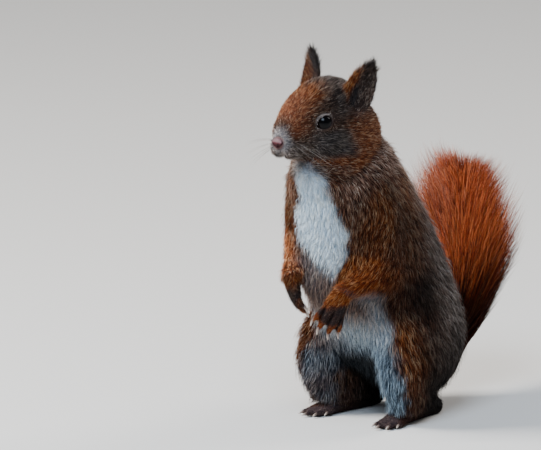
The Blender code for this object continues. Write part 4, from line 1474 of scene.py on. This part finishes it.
def make_claws(material):
    """Every claw as its node, rounder, and paler towards its tip."""
    for name in sorted(NODES):
        if not name.startswith("claw_"):
            continue
        limb, side = name.split("_")[1:3]
        claw = smooth_copy(name, name.replace("claw_", "horn_"), 2)
        points = points_of(claw.data)
        from_paw = np.linalg.norm(points - middle(f"{limb}_{side}"), axis=1)
        along = (from_paw - from_paw.min()) / np.ptp(from_paw)
        add_values(claw.data, along=along)
        claw.data.materials.append(material)
        ride(claw, "horn", name)


def make_nose(material):
    """The bare pad, wide above and narrow below, with its nostrils and the groove down its middle."""
    nose = smooth_copy("nose", "nose_pad", 1)
    mesh = finish_piece(nose, "REMESH", mode="VOXEL", voxel_size=NOSE_VOXEL * MM)
    edges = edges_of(mesh)
    points = spread(points_of(mesh), edges, 4)
    left, back, up = in_head(points)
    narrow = 1.10 - 0.48 * fade(up, 0.8, -3.2)
    points = points + LEFTWARD * (left * (narrow - 1))[:, None] - BACKWARD * (back * (1 - 0.85))[:, None]
    points = points + BACKWARD * NOSE_SET_BACK - UP * (0.14 * up)[:, None] + LEFTWARD * NOSE_SHIFT
    left, _, up = in_head(points - NOSE_SHIFT * LEFTWARD)
    inner = np.zeros(len(points))
    round_by, half_width = NOSTRIL
    for side in SIDES.values():
        away, turn = np.hypot(left, up - 0.2), np.arctan2(up - 0.2, side * left)
        slit = ((away - round_by) / half_width) ** 2 + ((turn + 0.70) / 0.70) ** 2
        inner = np.maximum(inner, smooth_step(1.5 - slit))
    groove = fade(np.abs(left), 0.45, -0.45) * fade(up, 0.8, -1.5)
    points = points + BACKWARD * (0.8 * inner + 0.4 * groove)[:, None]
    set_points(mesh, points)
    mesh.shade_smooth()
    add_values(mesh, inner=np.clip(inner + 0.3 * groove, 0, 1), height=fade(up, -1.0, 3.2))
    mesh.name = "nose_pad"
    mesh.materials.clear()
    mesh.materials.append(material)
    ride(nose, "nose_skin", "nose")


def whisker_line(tree, side, row, spot, steps):
    """One whisker: from the skin nearest to its place in its row, out, back and bent down by its weight."""
    back, up = 4.2 + 2.3 * spot + 0.6 * row, -0.4 - 1.5 * row - 0.25 * spot
    start = NOSE + side * 9 * LEFTWARD + back * BACKWARD + up * UP
    root = np.array(tree.find_nearest(Vector(start) * MM)[0]) / MM
    shortest, added, changed = WHISKER_LENGTHS
    length = shortest + added * spot + chance.uniform(-changed, changed)
    swept = WHISKER_SWEEP[side]
    out = unit(
        side * LEFTWARD * (0.95 - 0.35 * swept)
        + BACKWARD * (-0.35 + 0.12 * spot + 0.85 * swept)
        - UP * (0.05 + 0.20 * row + 0.42 * swept + chance.uniform(-0.08, 0.08))
    )
    sag = unit(BACKWARD * 0.7 - UP * 0.8)
    return root - out * 0.4 + length * (steps[:, None] * out + WHISKER_SAG * steps[:, None] ** 2 * sag)


def make_whiskers(skin, material):
    """Long bent hairs from three rows to each side of the muzzle, fewer on the left."""
    tree = surface_tree(skin.data)
    pattern = tuft_pattern((0.12, 0.26, 0.42, 0.58, 0.74, 0.88), 4)
    steps = pattern["levels"]
    paths = np.array([
        whisker_line(tree, side, row, spot, steps)
        for side in SIDES.values()
        for row in range(3)
        for spot in range(row % 2, 4, 2 if side > 0 else 1)
    ])
    widths = np.tile(WHISKER_WIDTH * (1 - steps) ** 0.7, (len(paths), 1))
    sideways = np.tile(UP, (len(paths), 1)) + 0.1
    values = {"strand": chance.random(len(paths))}
    whiskers = grow("whiskers", pattern, paths, widths, sideways, 1.0, values)
    whiskers.data.materials.append(material)
    ride(whiskers, "horn")


# ---------------------------------------------------------------- camera, floor and light

VIEW_TURN, VIEW_RISE = 42, 12  # degrees round from the squirrel's front, and above the floor
VIEW_AWAY = 8.0  # metres
VIEW_WIDTH = 0.2976  # metres across at the squirrel
VIEW_MIDDLE = (-0.0605, 0.1041)  # metres right of and above the origin
SENSOR = 36
FLOOR_SIZE, FLOOR_COLOUR = 8, (0.60, 0.58, 0.55, 1)
LIGHT_AIM = Vector((0, 0, 0.1))
# Each light's place and size in metres, its watts and its colour.
LIGHTS = {
    "key": ((-0.85, -0.95, 1.25), 0.6, 66, (1.0, 0.98, 0.95)),
    "top": ((0.45, -0.78, 1.15), 0.62, 24, (0.66, 0.81, 1.0)),
    "rim": ((0.4, 1.3, 1.1), 0.6, 18, (1.0, 0.97, 0.94)),
}
SKY, SKY_STRENGTH = (0.80, 0.84, 0.92, 1), 0.22


def make_camera():
    turn, rise = math.radians(VIEW_TURN), math.radians(VIEW_RISE)
    right = Vector((math.cos(turn), math.sin(turn), 0))
    back = Vector((math.sin(turn) * math.cos(rise), -math.cos(turn) * math.cos(rise), math.sin(rise)))
    upward = back.cross(right)
    target = VIEW_MIDDLE[0] * right + VIEW_MIDDLE[1] * upward
    camera = bpy.data.cameras.new("camera")
    camera.sensor_width = SENSOR
    camera.lens = SENSOR * VIEW_AWAY / VIEW_WIDTH
    camera.clip_start, camera.clip_end = 0.05, 50
    holder = bpy.data.objects.new("camera", camera)
    holder.location = target + back * VIEW_AWAY
    holder.rotation_euler = (-back).to_track_quat("-Z", "Y").to_euler()
    bpy.context.scene.collection.objects.link(holder)
    bpy.context.scene.camera = holder


def make_floor():
    form = bmesh.new()
    bmesh.ops.create_grid(form, x_segments=1, y_segments=1, size=FLOOR_SIZE)
    material, _, _ = new_material("pale_floor", Base_Color=FLOOR_COLOUR, Roughness=0.85)
    new_object("floor", mesh_from(form, "floor"), material)


def make_light():
    for name, (place, size, watts, colour) in LIGHTS.items():
        light = bpy.data.lights.new(name, "AREA")
        light.size, light.energy, light.color = size, watts, colour
        holder = bpy.data.objects.new(name, light)
        holder.location = place
        holder.rotation_euler = (LIGHT_AIM - Vector(place)).to_track_quat("-Z", "Y").to_euler()
        bpy.context.scene.collection.objects.link(holder)
    world = bpy.data.worlds.new("studio")
    world.use_nodes = True
    background = world.node_tree.nodes["Background"].inputs
    background[0].default_value = SKY
    background[1].default_value = SKY_STRENGTH
    bpy.context.scene.world = world


def main():
    group = coat_group()
    skin, fields = dress_skin(group)
    make_coat(skin, fields, hair_material(group))
    eye, rim = eye_material(), skin.data.materials[0]
    for side in SIDES:
        make_eye(side, eye)
        make_lids(side, rim)
    make_nose(nose_material())
    make_claws(horn_material())
    make_whiskers(skin, whisker_material())
    make_camera()
    make_floor()
    make_light()


main()
